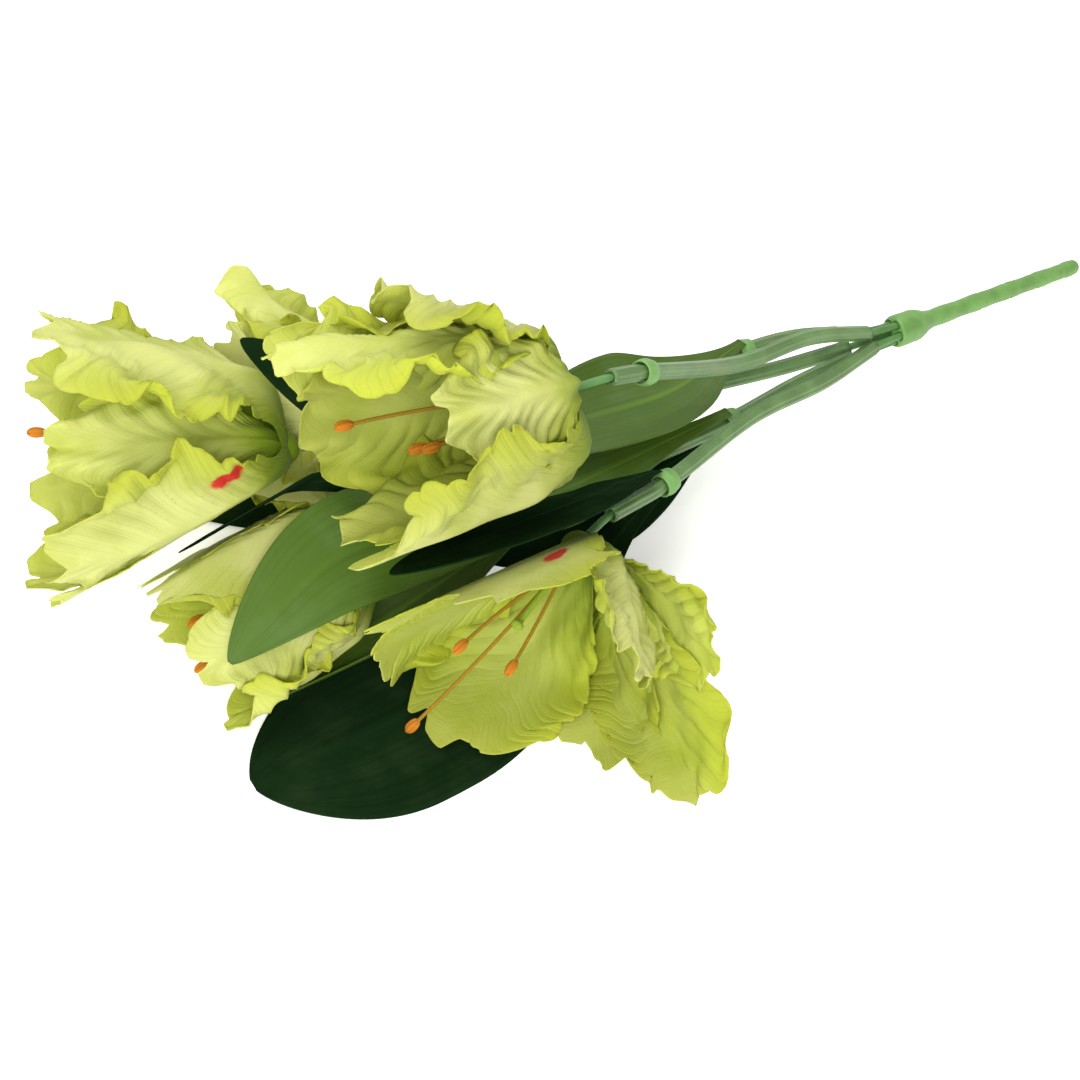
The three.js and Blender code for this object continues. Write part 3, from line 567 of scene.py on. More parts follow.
def turned(profile, sides, centre, direction):
    """A closed solid of revolution: profile rows are (radius, distance along the direction).
    A profile that ends off the axis closes on itself, as a ring's does."""
    direction = unit(direction)
    seed = UP if abs(direction[2]) < 0.9 else np.array([1.0, 0.0, 0.0])
    side = square_to(seed, direction)
    other = np.cross(direction, side)
    angles = 2 * math.pi * np.arange(sides) / sides
    rim = side * np.cos(angles)[:, None] + other * np.sin(angles)[:, None]
    points, rings = [], []
    for radius, distance in profile:
        middle = np.asarray(centre, float) + direction * distance
        if radius < 1e-6:
            rings.append([len(points)])
            points.append(middle)
        else:
            rings.append(list(range(len(points), len(points) + sides)))
            points += list(middle + rim * radius)
    ring_shaped = len(rings[0]) > 1 and len(rings[-1]) > 1
    pairs = list(zip(rings, rings[1:])) + ([(rings[-1], rings[0])] if ring_shaped else [])
    faces = []
    for near, far in pairs:
        for k in range(sides):
            n = (k + 1) % sides
            if len(near) == 1:
                faces.append([near[0], far[n], far[k]])
            elif len(far) == 1:
                faces.append([near[k], near[n], far[0]])
            else:
                faces.append([near[k], near[n], far[n], far[k]])
    return np.array(points), faces


def dress(piece, slot_name, *nodes):
    """Hands a finished piece to the frame: it stands for its nodes and rides on the body."""
    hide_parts(*nodes)
    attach(piece, "root")


# ------------------------------------------------------------------ materials

PRINT_WASH = 24.0             # patches of dye on a petal, mm
BRUSH_STREAK = 2.5            # streaks of the brushed splash, mm
RIM_STRENGTH = 0.6
INNER_FADE = 0.4              # how much of the outer petals' fading the inner faces have
VEINS_PER_PLEAT = 3
VEIN_STRENGTH = 0.1
SILK_GLOW = 0.34              # share of the light that goes through a petal
LEAF_STRIPES = (1.6, 26.0)    # patches of a leaf's stripes along and across it

# What is set on nodes that mix colours, and on those that step smoothly between values.
COLOURS = {"data_type": "RGBA"}
SMOOTH_STEP = {"interpolation_type": "SMOOTHSTEP"}


def add_node(tree, kind, inputs=(), **settings):
    """Adds a node, makes its settings, then fills or links its inputs: a list takes those in
    use in their order, a dict gives them by name or number. A node among them stands for its
    first output in use, and a colour is linear red, green and blue."""
    node = tree.nodes.new(kind)
    for name, value in settings.items():
        setattr(node, name, value)
    if not isinstance(inputs, dict):
        in_use = [number for number, socket in enumerate(node.inputs) if socket.enabled]
        inputs = dict(zip(in_use, inputs))
    for key, value in inputs.items():
        socket = node.inputs[key]
        if isinstance(value, bpy.types.Node):
            value = next(output for output in value.outputs if output.enabled)
        if isinstance(value, bpy.types.NodeSocket):
            tree.links.new(value, socket)
        elif socket.type == "RGBA":
            socket.default_value = (*value, 1.0)
        else:
            socket.default_value = value
    return node


def new_material(name):
    """An empty material and its tree."""
    material = bpy.data.materials.new(name)
    material.use_nodes = True
    material.node_tree.nodes.clear()
    return material, material.node_tree


def patches(size_mm):
    """The scale of a noise whose patches are about size_mm across."""
    return 1 / (size_mm * MM)


def shade_of(colour, factor, lift=0.0):
    """A lighter or darker shade of a colour."""
    return [min(1, c * factor + lift) for c in colour]


def blade_place(tree):
    """The place on a blade, as values from 0 to 1: along it from root to tip, across it from
    side to side, and off its midrib."""
    uv = add_node(tree, "ShaderNodeUVMap", uv_map="Blade")
    along, across, _ = add_node(tree, "ShaderNodeSeparateXYZ", [uv]).outputs
    off = add_node(tree, "ShaderNodeMath", [across, 2.0, -1.0], operation="MULTIPLY_ADD")
    return along, across, add_node(tree, "ShaderNodeMath", [off], operation="ABSOLUTE")


def rounded_wave(tree, value, turns):
    """Round ridges with sharp grooves between them: the size of a sine of the value."""
    angle = add_node(tree, "ShaderNodeMath", [value, math.pi * turns], operation="MULTIPLY")
    swing = add_node(tree, "ShaderNodeMath", [angle], operation="SINE")
    return add_node(tree, "ShaderNodeMath", [swing], operation="ABSOLUTE")


def silk_print(tree, place, colours, along, off, vein):
    """The petal's print: green at the root, lime in the middle, creamy outside, yellow at the
    rim, with fine veins and a brushed red splash."""
    outer, tint, painted = (
        add_node(tree, "ShaderNodeAttribute", attribute_name=name).outputs["Fac"]
        for name in ("outer", "tint", "splash"))
    wash = add_node(tree, "ShaderNodeTexNoise", {
        "Vector": place, "Scale": patches(PRINT_WASH), "Detail": 3.0})

    # The green heart ends at a distance that wanders with the wash of the dye.
    drift = add_node(tree, "ShaderNodeMath", [wash, 0.24, -0.12], operation="MULTIPLY_ADD")
    reach = add_node(tree, "ShaderNodeMath", [along, drift], operation="ADD")
    body = add_node(tree, "ShaderNodeMix", [outer, colours.petal_inner, colours.petal_lime], **COLOURS)
    past = add_node(tree, "ShaderNodeMapRange", [reach, 0.02, 0.5], **SMOOTH_STEP)
    dyed = add_node(tree, "ShaderNodeMix", [past, colours.petal_heart, body], **COLOURS)

    # The rim is both sides of the blade beyond its bowl, and its tip.
    side = add_node(tree, "ShaderNodeMapRange", [off, 0.55, 1.0], **SMOOTH_STEP)
    past = add_node(tree, "ShaderNodeMapRange", [reach, 0.3, 0.6], **SMOOTH_STEP)
    side = add_node(tree, "ShaderNodeMath", [side, past], operation="MULTIPLY")
    tip = add_node(tree, "ShaderNodeMapRange", [reach, 0.78, 1.0], **SMOOTH_STEP)
    rim = add_node(tree, "ShaderNodeMath", [side, tip], operation="MAXIMUM")
    rim = add_node(tree, "ShaderNodeMath", [rim, RIM_STRENGTH], operation="MULTIPLY")
    dyed = add_node(tree, "ShaderNodeMix", [rim, dyed, colours.petal_edge], **COLOURS)

    # The middle has faded to cream, in patches, and most on the outer faces.
    past = add_node(tree, "ShaderNodeMapRange", [reach, 0.12, 0.5], **SMOOTH_STEP)
    inside = add_node(tree, "ShaderNodeMapRange", [off, 1.1, 0.2], **SMOOTH_STEP)
    faded = add_node(tree, "ShaderNodeMath", [past, inside], operation="MULTIPLY")
    share = add_node(tree, "ShaderNodeMath", [outer, 1 - INNER_FADE, INNER_FADE],
                     operation="MULTIPLY_ADD")
    faded = add_node(tree, "ShaderNodeMath", [faded, share], operation="MULTIPLY")
    patchy = add_node(tree, "ShaderNodeMapRange", [wash, 0.25, 0.7, 0.5, 1.25], **SMOOTH_STEP)
    faded = add_node(tree, "ShaderNodeMath", [faded, patchy], operation="MULTIPLY")
    dyed = add_node(tree, "ShaderNodeMix", [faded, dyed, colours.petal_cream], **COLOURS)

    # Fine printed veins run out along the pleats, a few to each pleat.
    line = add_node(tree, "ShaderNodeMapRange", [vein, 0.35, 0.0], **SMOOTH_STEP)
    beside = add_node(tree, "ShaderNodeMapRange", [off, 0.06, 0.4], **SMOOTH_STEP)
    line = add_node(tree, "ShaderNodeMath", [line, beside], operation="MULTIPLY")
    line = add_node(tree, "ShaderNodeMath", [line, VEIN_STRENGTH], operation="MULTIPLY")
    dyed = add_node(tree, "ShaderNodeMix", [line, dyed, colours.petal_heart], **COLOURS)

    # No two petals take the dye alike.
    shade = add_node(tree, "ShaderNodeMath", [tint, 0.22, 0.88], operation="MULTIPLY_ADD")
    grey = add_node(tree, "ShaderNodeCombineXYZ", [shade, shade, shade])
    dyed = add_node(tree, "ShaderNodeMix", [1.0, dyed, grey], blend_type="MULTIPLY", **COLOURS)

    # The splash is brushed on, so its edge is streaky.
    streak = add_node(tree, "ShaderNodeTexNoise", {
        "Vector": place, "Scale": patches(BRUSH_STREAK), "Detail": 3.0})
    streak = add_node(tree, "ShaderNodeMath", [streak, 1.1, 0.45], operation="MULTIPLY_ADD")
    brushed = add_node(tree, "ShaderNodeMath", [painted, streak], operation="MULTIPLY")
    brushed = add_node(tree, "ShaderNodeMapRange", [brushed, 0.3, 0.62], **SMOOTH_STEP)
    return add_node(tree, "ShaderNodeMix", [brushed, dyed, colours.splash], **COLOURS)


def silk_petal(colours):
    """Printed satin silk, pressed hot into pleats: it has a dull sheen, its ridges and creases
    catch the light, and light glows through it."""
    material, tree = new_material("printed_silk_petal")
    place = add_node(tree, "ShaderNodeTexCoord").outputs["Object"]
    along, _, off = blade_place(tree)
    pleat = add_node(tree, "ShaderNodeAttribute", attribute_name="pleat").outputs["Fac"]
    vein = rounded_wave(tree, pleat, VEINS_PER_PLEAT)
    dyed = silk_print(tree, place, colours, along, off, vein)

    # The satin weave is 0.15 mm, drawn as 0.6 mm so that it shows.
    weave = add_node(tree, "ShaderNodeTexNoise", {
        "Vector": place, "Scale": patches(0.6), "Detail": 1.0})
    weave = add_node(tree, "ShaderNodeMath", [weave, 0.25], operation="MULTIPLY")
    crease = add_node(tree, "ShaderNodeTexNoise", {
        "Vector": place, "Scale": patches(5), "Detail": 4.0})
    crease = add_node(tree, "ShaderNodeMath", [crease, 0.9], operation="MULTIPLY")
    height = add_node(tree, "ShaderNodeMath", [weave, crease], operation="ADD")
    groove = add_node(tree, "ShaderNodeMapRange", [vein, 0.5, 0.0], **SMOOTH_STEP)
    groove = add_node(tree, "ShaderNodeMath", [groove, -0.25], operation="MULTIPLY")
    height = add_node(tree, "ShaderNodeMath", [height, groove], operation="ADD")
    beside = add_node(tree, "ShaderNodeMapRange", [off, 0.1, 0.6], **SMOOTH_STEP)
    ridge = add_node(tree, "ShaderNodeMath", [rounded_wave(tree, pleat, 2), beside],
                     operation="MULTIPLY")
    ridge = add_node(tree, "ShaderNodeMath", [ridge, 0.9], operation="MULTIPLY")
    height = add_node(tree, "ShaderNodeMath", [height, ridge], operation="ADD")
    bump = add_node(tree, "ShaderNodeBump", {
        "Strength": 0.45, "Distance": 0.6 * MM, "Height": height})

    cloth = add_node(tree, "ShaderNodeBsdfPrincipled", {
        "Base Color": dyed, "Roughness": 0.7, "IOR": 1.45, "Specular IOR Level": 0.22,
        "Sheen Weight": 0.06, "Sheen Roughness": 0.4, "Normal": bump})
    glow = add_node(tree, "ShaderNodeHueSaturation", {
        "Saturation": 1.15, "Value": 1.0, "Color": dyed})
    through = add_node(tree, "ShaderNodeBsdfTranslucent", {"Color": glow, "Normal": bump})
    shader = add_node(tree, "ShaderNodeMixShader", [SILK_GLOW, cloth, through])
    add_node(tree, "ShaderNodeOutputMaterial", {"Surface": shader})
    return material


def coated_leaf(name, colour, roughness, lift, mottle_and_sheen, gleam):
    """Polyester cloth with a waxy coat, pressed with parallel veins: the mid green has a faint
    satin gloss, broken by the veins, and a paler underside, while the wax on the dark green is
    dull. Both have pale patches, fine dark stripes and a paler midrib. The pale patches are
    printed mottle, and on the dark green they are partly painted sheen, in place of a gloss."""
    material, tree = new_material(name)
    place = add_node(tree, "ShaderNodeTexCoord").outputs["Object"]
    along, across, off = blade_place(tree)
    under = add_node(tree, "ShaderNodeAttribute", attribute_name="outer").outputs["Fac"]
    wash = add_node(tree, "ShaderNodeTexNoise", {
        "Vector": place, "Scale": patches(18), "Detail": 3.0})
    # Pale patches: printed mottle, and on the dark leaves partly painted sheen.
    pale = [0.55 * c + 0.12 * paling for c, paling in zip(colour, (0.5, 0.8, 0.35))]
    paling = add_node(tree, "ShaderNodeMapRange", [wash, 0.4, 0.8, 0.0, mottle_and_sheen], **SMOOTH_STEP)
    base = add_node(tree, "ShaderNodeMix", [paling, colour, pale], **COLOURS)

    # The stripes run along the blade, as the pressed veins do.
    stripes_along, stripes_across = LEAF_STRIPES
    stretched = add_node(tree, "ShaderNodeMath", [along, stripes_along], operation="MULTIPLY")
    narrowed = add_node(tree, "ShaderNodeMath", [across, stripes_across], operation="MULTIPLY")
    striped = add_node(tree, "ShaderNodeCombineXYZ", [stretched, narrowed])
    stripes = add_node(tree, "ShaderNodeTexNoise", {
        "Vector": striped, "Scale": 1.0, "Detail": 2.0})
    line = add_node(tree, "ShaderNodeMapRange", [stripes, 0.42, 0.68, 0.0, 0.3], **SMOOTH_STEP)
    base = add_node(tree, "ShaderNodeMix", [line, base, shade_of(colour, 0.45)], **COLOURS)

    near = add_node(tree, "ShaderNodeMapRange", [off, 0.09, 0.0], **SMOOTH_STEP)
    before = add_node(tree, "ShaderNodeMapRange", [along, 1.0, 0.3], **SMOOTH_STEP)
    midrib = add_node(tree, "ShaderNodeMath", [near, before], operation="MULTIPLY")
    midrib = add_node(tree, "ShaderNodeMath", [midrib, 0.5], operation="MULTIPLY")
    base = add_node(tree, "ShaderNodeMix", [midrib, base, shade_of(colour, 2.2)], **COLOURS)
    below = add_node(tree, "ShaderNodeMath", [under, lift], operation="MULTIPLY")
    base = add_node(tree, "ShaderNodeMix", [below, base, shade_of(colour, 2.6, 0.01)], **COLOURS)

    grain = add_node(tree, "ShaderNodeTexNoise", {
        "Vector": place, "Scale": patches(1.2), "Detail": 2.0})
    grain = add_node(tree, "ShaderNodeMath", [grain, 0.25], operation="MULTIPLY")
    height = add_node(tree, "ShaderNodeMath", [stripes, grain], operation="ADD")
    bump = add_node(tree, "ShaderNodeBump", {
        "Strength": 0.3, "Distance": 0.4 * MM, "Height": height})
    gloss = add_node(tree, "ShaderNodeMath", [wash, 0.2, roughness - 0.1], operation="MULTIPLY_ADD")
    shader = add_node(tree, "ShaderNodeBsdfPrincipled", {
        "Base Color": base, "Roughness": gloss, "IOR": 1.48, "Specular IOR Level": gleam,
        "Normal": bump})
    add_node(tree, "ShaderNodeOutputMaterial", {"Surface": shader})
    return material


def moulded_plastic(name, colour, roughness, patch_mm=6.0, paling=0.25, brown=None):
    """Soft polyethylene straight from the mould: even colour with faint flow marks, a fine
    matt grain and slightly paler high spots, and brown patches where it has been given them."""
    material, tree = new_material(name)
    place = add_node(tree, "ShaderNodeTexCoord").outputs["Object"]
    flow = add_node(tree, "ShaderNodeTexNoise", {
        "Vector": place, "Scale": patches(patch_mm), "Detail": 3.0})
    grain = add_node(tree, "ShaderNodeTexNoise", {
        "Vector": place, "Scale": patches(0.8), "Detail": 2.0})
    marks = add_node(tree, "ShaderNodeMapRange", [flow, 0.3, 0.72], **SMOOTH_STEP)
    base = add_node(tree, "ShaderNodeMix", [marks, shade_of(colour, 0.72), colour], **COLOURS)
    # The high spots of the fine grain are drawn paler.
    high = add_node(tree, "ShaderNodeMapRange", [grain, 0.5, 0.8, 0.0, paling], **SMOOTH_STEP)
    base = add_node(tree, "ShaderNodeMix", [high, base, shade_of(colour, 1.25, 0.02)], **COLOURS)
    if brown is not None:
        # Brown patches, scattered at random by a noise.
        brown_patch = add_node(tree, "ShaderNodeTexNoise", {
            "Vector": place, "Scale": patches(14), "Detail": 2.0})
        brown_patch = add_node(tree, "ShaderNodeMapRange", [brown_patch, 0.58, 0.72, 0.0, 0.35], **SMOOTH_STEP)
        base = add_node(tree, "ShaderNodeMix", [brown_patch, base, brown], **COLOURS)
    height = add_node(tree, "ShaderNodeMath", [flow, grain], operation="ADD")
    bump = add_node(tree, "ShaderNodeBump", {
        "Strength": 0.25, "Distance": 0.3 * MM, "Height": height})
    gloss = add_node(tree, "ShaderNodeMath", [flow, 0.16, roughness - 0.08], operation="MULTIPLY_ADD")
    shader = add_node(tree, "ShaderNodeBsdfPrincipled", {
        "Base Color": base, "Roughness": gloss, "IOR": 1.5, "Normal": bump})
    add_node(tree, "ShaderNodeOutputMaterial", {"Surface": shader})
    return material


def flocked_stamen(colours):
    """Moulded plastic dipped in flock: dull, powdery anthers on thin dyed filaments."""
    material, tree = new_material("flocked_stamen")
    place = add_node(tree, "ShaderNodeTexCoord").outputs["Object"]
    # The attribute is 0 on the pistil, 0.5 on a filament and 1 on an anther.
    part = add_node(tree, "ShaderNodeAttribute", attribute_name="part").outputs["Fac"]
    powder = add_node(tree, "ShaderNodeTexNoise", {
        "Vector": place, "Scale": patches(0.7), "Detail": 2.0})
    past = add_node(tree, "ShaderNodeMapRange", [part, 0.2, 0.45], **SMOOTH_STEP)
    base = add_node(tree, "ShaderNodeMix", [past, colours.pistil, colours.filament], **COLOURS)
    past = add_node(tree, "ShaderNodeMapRange", [part, 0.7, 0.95], **SMOOTH_STEP)
    base = add_node(tree, "ShaderNodeMix", [past, base, colours.anther], **COLOURS)
    dust = add_node(tree, "ShaderNodeMapRange", [powder, 0.45, 0.75, 0.0, 0.3], **SMOOTH_STEP)
    base = add_node(tree, "ShaderNodeMix", [dust, base, shade_of(colours.anther, 1.3, 0.03)], **COLOURS)
    bump = add_node(tree, "ShaderNodeBump", {
        "Strength": 0.5, "Distance": 0.3 * MM, "Height": powder})
    shader = add_node(tree, "ShaderNodeBsdfPrincipled", {
        "Base Color": base, "Roughness": 0.85, "IOR": 1.46, "Specular IOR Level": 0.25,
        "Normal": bump})
    add_node(tree, "ShaderNodeOutputMaterial", {"Surface": shader})
    return material


# ------------------------------------------------------------------ petals


def petal_half_width(t):
    """The share of the greatest half width: narrow at the root, broad to a blunt end."""
    return mix(ROOT_WIDTH, 1, smooth(t / 0.55)) * mix(1, TIP_WIDTH, smooth((t - 0.7) / 0.3))


def wandering(draw, count, amount):
    """A random function of a share from 0 to 1, straight between its knots."""
    knots = draw.uniform(-amount, amount, count)
    return lambda x: np.interp(x, np.linspace(0, 1, count), knots)


def petal_surface(bloom, shape, planes, sizes, draw):
    """A petal's middle surface on a fine grid, with the pleats, scalloped edge, frill and
    creases of pressed silk, then the grid's u and v, and the pleat number of each point."""
    rows, columns = PETAL_GRID
    u, v = np.meshgrid(np.linspace(0, 1, rows + 1), np.linspace(-1, 1, columns + 1), indexing="ij")
    edge, right = np.abs(v), v > 0
    wave, half = shape["wave"], shape["wide"] / 2

    # Pleats start at the midrib and run out and forward. They are numbered along each side.
    drift = np.where(right, wandering(draw, 7, PLEAT_DRIFT)(u), wandering(draw, 7, PLEAT_DRIFT)(u))
    start = np.where(right, draw.uniform(0, 1), draw.uniform(0, 1)) + 3
    pleat = sizes.pleats * (u - PLEAT_SLANT * edge) + drift + start
    number = np.floor(pleat).astype(int)
    bulge = np.abs(np.sin(math.pi * pleat))
    lobe_size = draw.uniform(0.7, 1.2, PLEAT_DRAWS)[number % PLEAT_DRAWS]
    lobe_lift = draw.uniform(0.35, 1.3, PLEAT_DRAWS)[number % PLEAT_DRAWS]
    grown = smooth((u - 0.2) / 0.25)

    # The tip has pleats of its own, which are numbered across it.
    tip_count = TIP_PLEATS * sizes.pleats + draw.uniform(-0.5, 0.5)
    tip_pleat = tip_count * v + draw.uniform(0, 1) + 32
    tip_number = np.floor(tip_pleat).astype(int)
    tip_size = draw.uniform(0.7, 1.2, PLEAT_DRAWS)[tip_number % PLEAT_DRAWS]
    tip_bulge = np.abs(np.sin(math.pi * tip_pleat)) ** 0.7

    # The outline: broad lobes, with a scallop and small teeth on each pleat.
    tip_lobes = TIP_LOBE * u ** 3 * np.cos(3 * math.pi * v + wave)
    tip_scallops = TIP_SCALLOP * sizes.scallop * (tip_size * tip_bulge - 0.65) * u ** 10
    side_lobes = SIDE_LOBE * smooth((u - 0.3) / 0.3) * np.cos(8 * math.pi * u + wave) * edge
    ending = 1 - 0.85 * smooth((u - 0.78) / 0.22)
    teeth = TOOTH * np.abs(np.sin(3 * math.pi * pleat + number))
    scallops = sizes.scallop * (lobe_size * bulge ** 0.5 - 0.7) + teeth
    scallops = scallops * edge ** 7 * grown * ending
    t = u * (1 - TIP_ROUNDING * edge ** 2) + tip_lobes + tip_scallops
    foot = np.array(bloom["base"], float) - unit(bloom["aim"]) * PETAL_SETBACK
    point, sideways, inward = on_path(
        leaning_path(bloom, shape, lambda radial: foot + radial * PETAL_ROOT_RADIUS), t)
    width = half * (petal_half_width(t) + shape["ruffle"] * (side_lobes + scallops))

    # The broad form: cupped across, rolled back at the sides and waved along the edge.
    cup = mix(ROOT_CUP, shape["cup"], smooth(t / 0.6)) * DEG
    cupped = width * (1 - np.cos(cup * v)) / cup
    past = smooth((t - 0.15) / 0.3)
    rolled = shape["roll"] * width * 2.2 * np.maximum(0, edge - 0.45) ** 2 * past
    side_wave = edge ** 2.2 * smooth((u - 0.15) / 0.4) * np.sin(
        4.6 * math.pi * u + wave + 2.1 * np.sign(v))
    tip_wave = u ** 5 * np.sin(2.6 * math.pi * v + 2 * wave)

    # The fine form: frill, pressed pleats, midrib, soft folds and crumples.
    frill = sizes.frill * edge ** 2.5 * grown * lobe_lift * np.sin(math.pi * pleat)
    tip_frill = TIP_FRILL * sizes.frill * u ** 8 * np.sin(math.pi * tip_pleat)
    pressed = PLEAT_DEPTH * smooth(edge / 0.35) * grown * (bulge ** 0.7 - 0.6)
    midrib = -MIDRIB_DEPTH * np.exp(-(v / 0.07) ** 2) * smooth(u / 0.2) * (1 - 0.8 * u)
    folds = FOLD_HEIGHT * smooth(u / 0.4) * np.sin(
        2 * math.pi * (1.4 * v + draw.uniform(0, 1)) + 2 * u)
    crumple = np.zeros_like(u)
    for _ in range(CRUMPLES):
        phase = draw.uniform(1, 4) * u + draw.uniform(-2.5, 2.5) * v + draw.uniform(0, 1)
        crumple += CRUMPLE_HEIGHT * np.sin(2 * math.pi * phase)
    crumple *= smooth(u / 0.3)
    waves = RUFFLE * (side_wave + 0.7 * tip_wave) + frill + tip_frill
    lift = cupped - rolled + shape["ruffle"] * waves + pressed + midrib + folds + crumple
    point = point + sideways * (width * np.sin(cup * v) / cup)[..., None] + inward * lift[..., None]

    # The second press clears what the first has pushed towards another plane.
    point = press(press(point, planes), planes)
    slope = smooth((point[..., 1] - bloom["floor_edge"]) / FLOOR_SLOPE + 1)
    return settle(point, bloom["floor"] * slope), u, v, pleat


def petal_part(bloom, shape, planes, sizes, draw):
    """One petal's blade, with what its print needs: which face is the outer one, its tint, its
    splash and the pleat numbers."""
    middle, u, v, pleat = petal_surface(bloom, shape, planes, sizes, draw)
    points, faces, rim = blade(middle, sizes.petal_thickness)
    splash = np.zeros_like(u)
    if shape["splash"]:
        at_u, at_v, long_u, long_v = shape["splash"]
        splash = np.exp(-((u - at_u) / long_u) ** 2 - ((v - at_v) / long_v) ** 2)
    # The petals that spread widest at the root are the outermost, and the most faded.
    faded = mix(0.5, 1, smooth((shape["lean"][0] - 60) / 30))
    attributes = {
        "outer": np.concatenate([np.zeros(u.size), np.full(u.size, faded)]),
        "tint": np.full(2 * u.size, draw.uniform(0, 1)),
        "splash": np.concatenate([np.zeros(u.size), splash.ravel()]),
        "pleat": np.tile(pleat.ravel(), 2),
    }
    return points, faces, rim, blade_uv(u, v), attributes


def receptacle_part(bloom):
    """The core on which the petals stand: its colour is that of the petals' roots."""
    rings = np.linspace(0, math.pi, 17)
    profile = [(RECEPTACLE_RADIUS * math.sin(a), -RECEPTACLE_RADIUS * math.cos(a)) for a in rings]
    profile[0], profile[-1] = (0, profile[0][1]), (0, profile[-1][1])
    points, faces = turned(profile, RECEPTACLE_SIDES, bloom["base"], bloom["aim"])
    count = len(points)
    attributes = {key: np.zeros(count) for key in ("outer", "splash", "pleat")}
    attributes["tint"] = np.full(count, 0.5)
    return points, faces, [], np.tile([0.12, 0.5], (count, 1)), attributes


class TULIP_OT_petals(bpy.types.Operator):
    """Make the pleated silk petals of every bloom"""
    bl_idname = "tulip.petals"
    bl_label = "Petals"

    def execute(self, context):
        sizes, colours = context.scene.tulip_sizes, context.scene.tulip_colours
        material = silk_petal(colours)
        for number, (key, bloom) in enumerate(BLOOMS.items()):
            planes = press_planes(key)
            draw = np.random.default_rng(100 + number)
            parts = [petal_part(bloom, shape, planes, sizes, draw) for shape in bloom["petals"]]
            points, faces, flat, uv, attributes = joined(parts + [receptacle_part(bloom)])
            piece = new_piece(f"petals_{key}", points, faces, material, uv, attributes, flat)
            dress(piece, "petals", f"bloom_{key}_petals")
        return {"FINISHED"}


# ------------------------------------------------------------------ leaves


def main_axis():
    """The direction of the main stem, from its end to its hub."""
    return unit(MAIN_HUB - MAIN_TIP)


def socket_point(turn, distance):
    """The middle of a socket, at a distance along the stem from the hub's face."""
    axis = main_axis()
    up = square_to(UP, axis)
    side = np.cross(axis, up)
    across = side * math.cos(turn * DEG) + up * math.sin(turn * DEG)
    return MAIN_HUB + across * SOCKET_CIRCLE + axis * distance


def stem_route(key):
    """A thin stem's curve, from the bottom of its socket to its bloom."""
    stem, bloom = STEMS[key], BLOOMS[key]
    base, aim = np.array(bloom["base"], float), unit(bloom["aim"])
    return Route([
        socket_point(stem["socket"], 1 - SOCKET_DEPTH), socket_point(stem["socket"], 2),
        socket_point(stem["socket"], 10), *stem["bends"],
        base - aim * stem["neck"], base - aim * (RECEPTACLE_RADIUS + GAP)])


STEM_ROUTES = {key: stem_route(key) for key in STEMS}


def leaf_root(leaf):
    """Where a leaf starts: just clear of the side of its collar."""
    stem, station = COLLARS[leaf["collar"]]
    at = station / STEM_STATIONS
    along = STEM_ROUTES[stem].tangent(at)[0]
    outwards = square_to(np.array(leaf["side"], float), along)
    distance = COLLAR_RADIUS + GAP + 0.5 * CAD_BLADE
    return STEM_ROUTES[stem].at(at)[0] + along * 2 + outwards * distance


def leaf_half_width(t, shoulder, full):
    """The share of the greatest half width: full from the shoulder on, then tapered."""
    taper = np.cos(0.5 * math.pi * np.clip((t - full) / (1.002 - full), 0, 1)) ** 0.62
    return np.maximum(0.05, mix(LEAF_ROOT_WIDTH, 1, smooth(t / shoulder)) * taper)


def leaf_surface(name, leaf, draw):
    """A leaf's middle surface on a fine grid, with its midrib and pressed veins, then the
    grid's u and v."""
    rows, columns = LEAF_GRID
    shares = 1 - (1 - np.linspace(0, 1, rows + 1)) ** LEAF_TIP_CROWDING
    u, v = np.meshgrid(shares, np.linspace(-1, 1, columns + 1), indexing="ij")
    spine = Route([leaf_root(leaf), *leaf["spine"]])
    centre, forward = spine.at(shares), spine.tangent(shares)
    root_side, tip_side = (np.array(side, float) for side in leaf["across"])
    sideways = square_to(mix(root_side, tip_side, shares[:, None]), forward)
    face = np.cross(sideways, forward)
    half = leaf["wide"] / 2
    width = half * leaf_half_width(u, leaf["shoulder"], leaf.get("full", 0.45))
    cup = leaf["cup"] * mix(0.05, 1, smooth(u / 0.3)) * DEG
    wave = leaf["wave"] * v ** 2 * np.sin(3.2 * math.pi * u + np.sign(v)) * smooth(u / 0.3)
    lift = width * (1 - np.cos(cup * v)) / cup + wave * width / half
    veins = LEAF_VEIN_HEIGHT * np.cos(2 * math.pi * LEAF_VEINS * v) * smooth(u / 0.15)
    midrib = -LEAF_MIDRIB_DEPTH * np.exp(-(v / 0.06) ** 2) * smooth(u / 0.1) * (1 - u)
    phase = draw.uniform(0.8, 1.6) * u + 0.4 * v + draw.uniform(0, 1)
    sag = LEAF_SAG * smooth(u / 0.4) * np.sin(2 * math.pi * phase)
    lift = lift + veins + midrib + sag * np.abs(v)
    point = (centre[:, None] + sideways[:, None] * (width * np.sin(cup * v) / cup)[..., None]
             + face[:, None] * lift[..., None])
    if "between" in leaf:
        first, second, start = leaf["between"]
        normal, offset = parting_plane(first, second)
        depth = point @ normal - offset
        kept = LEAF_SWAY * np.tanh(depth / LEAF_SWAY)
        point = point + normal * ((kept - depth) * smooth(u / start))[..., None]
    for bed in LEAF_BEDS:
        if bed["leaf"] == name:
            laid = press(point, [bed_plane(bed)], LEAF_REACH, LEAF_MARGIN)
            point = mix(point, laid, smooth((u - bed["start"]) / 0.15)[..., None])
    return settle(point), u, v


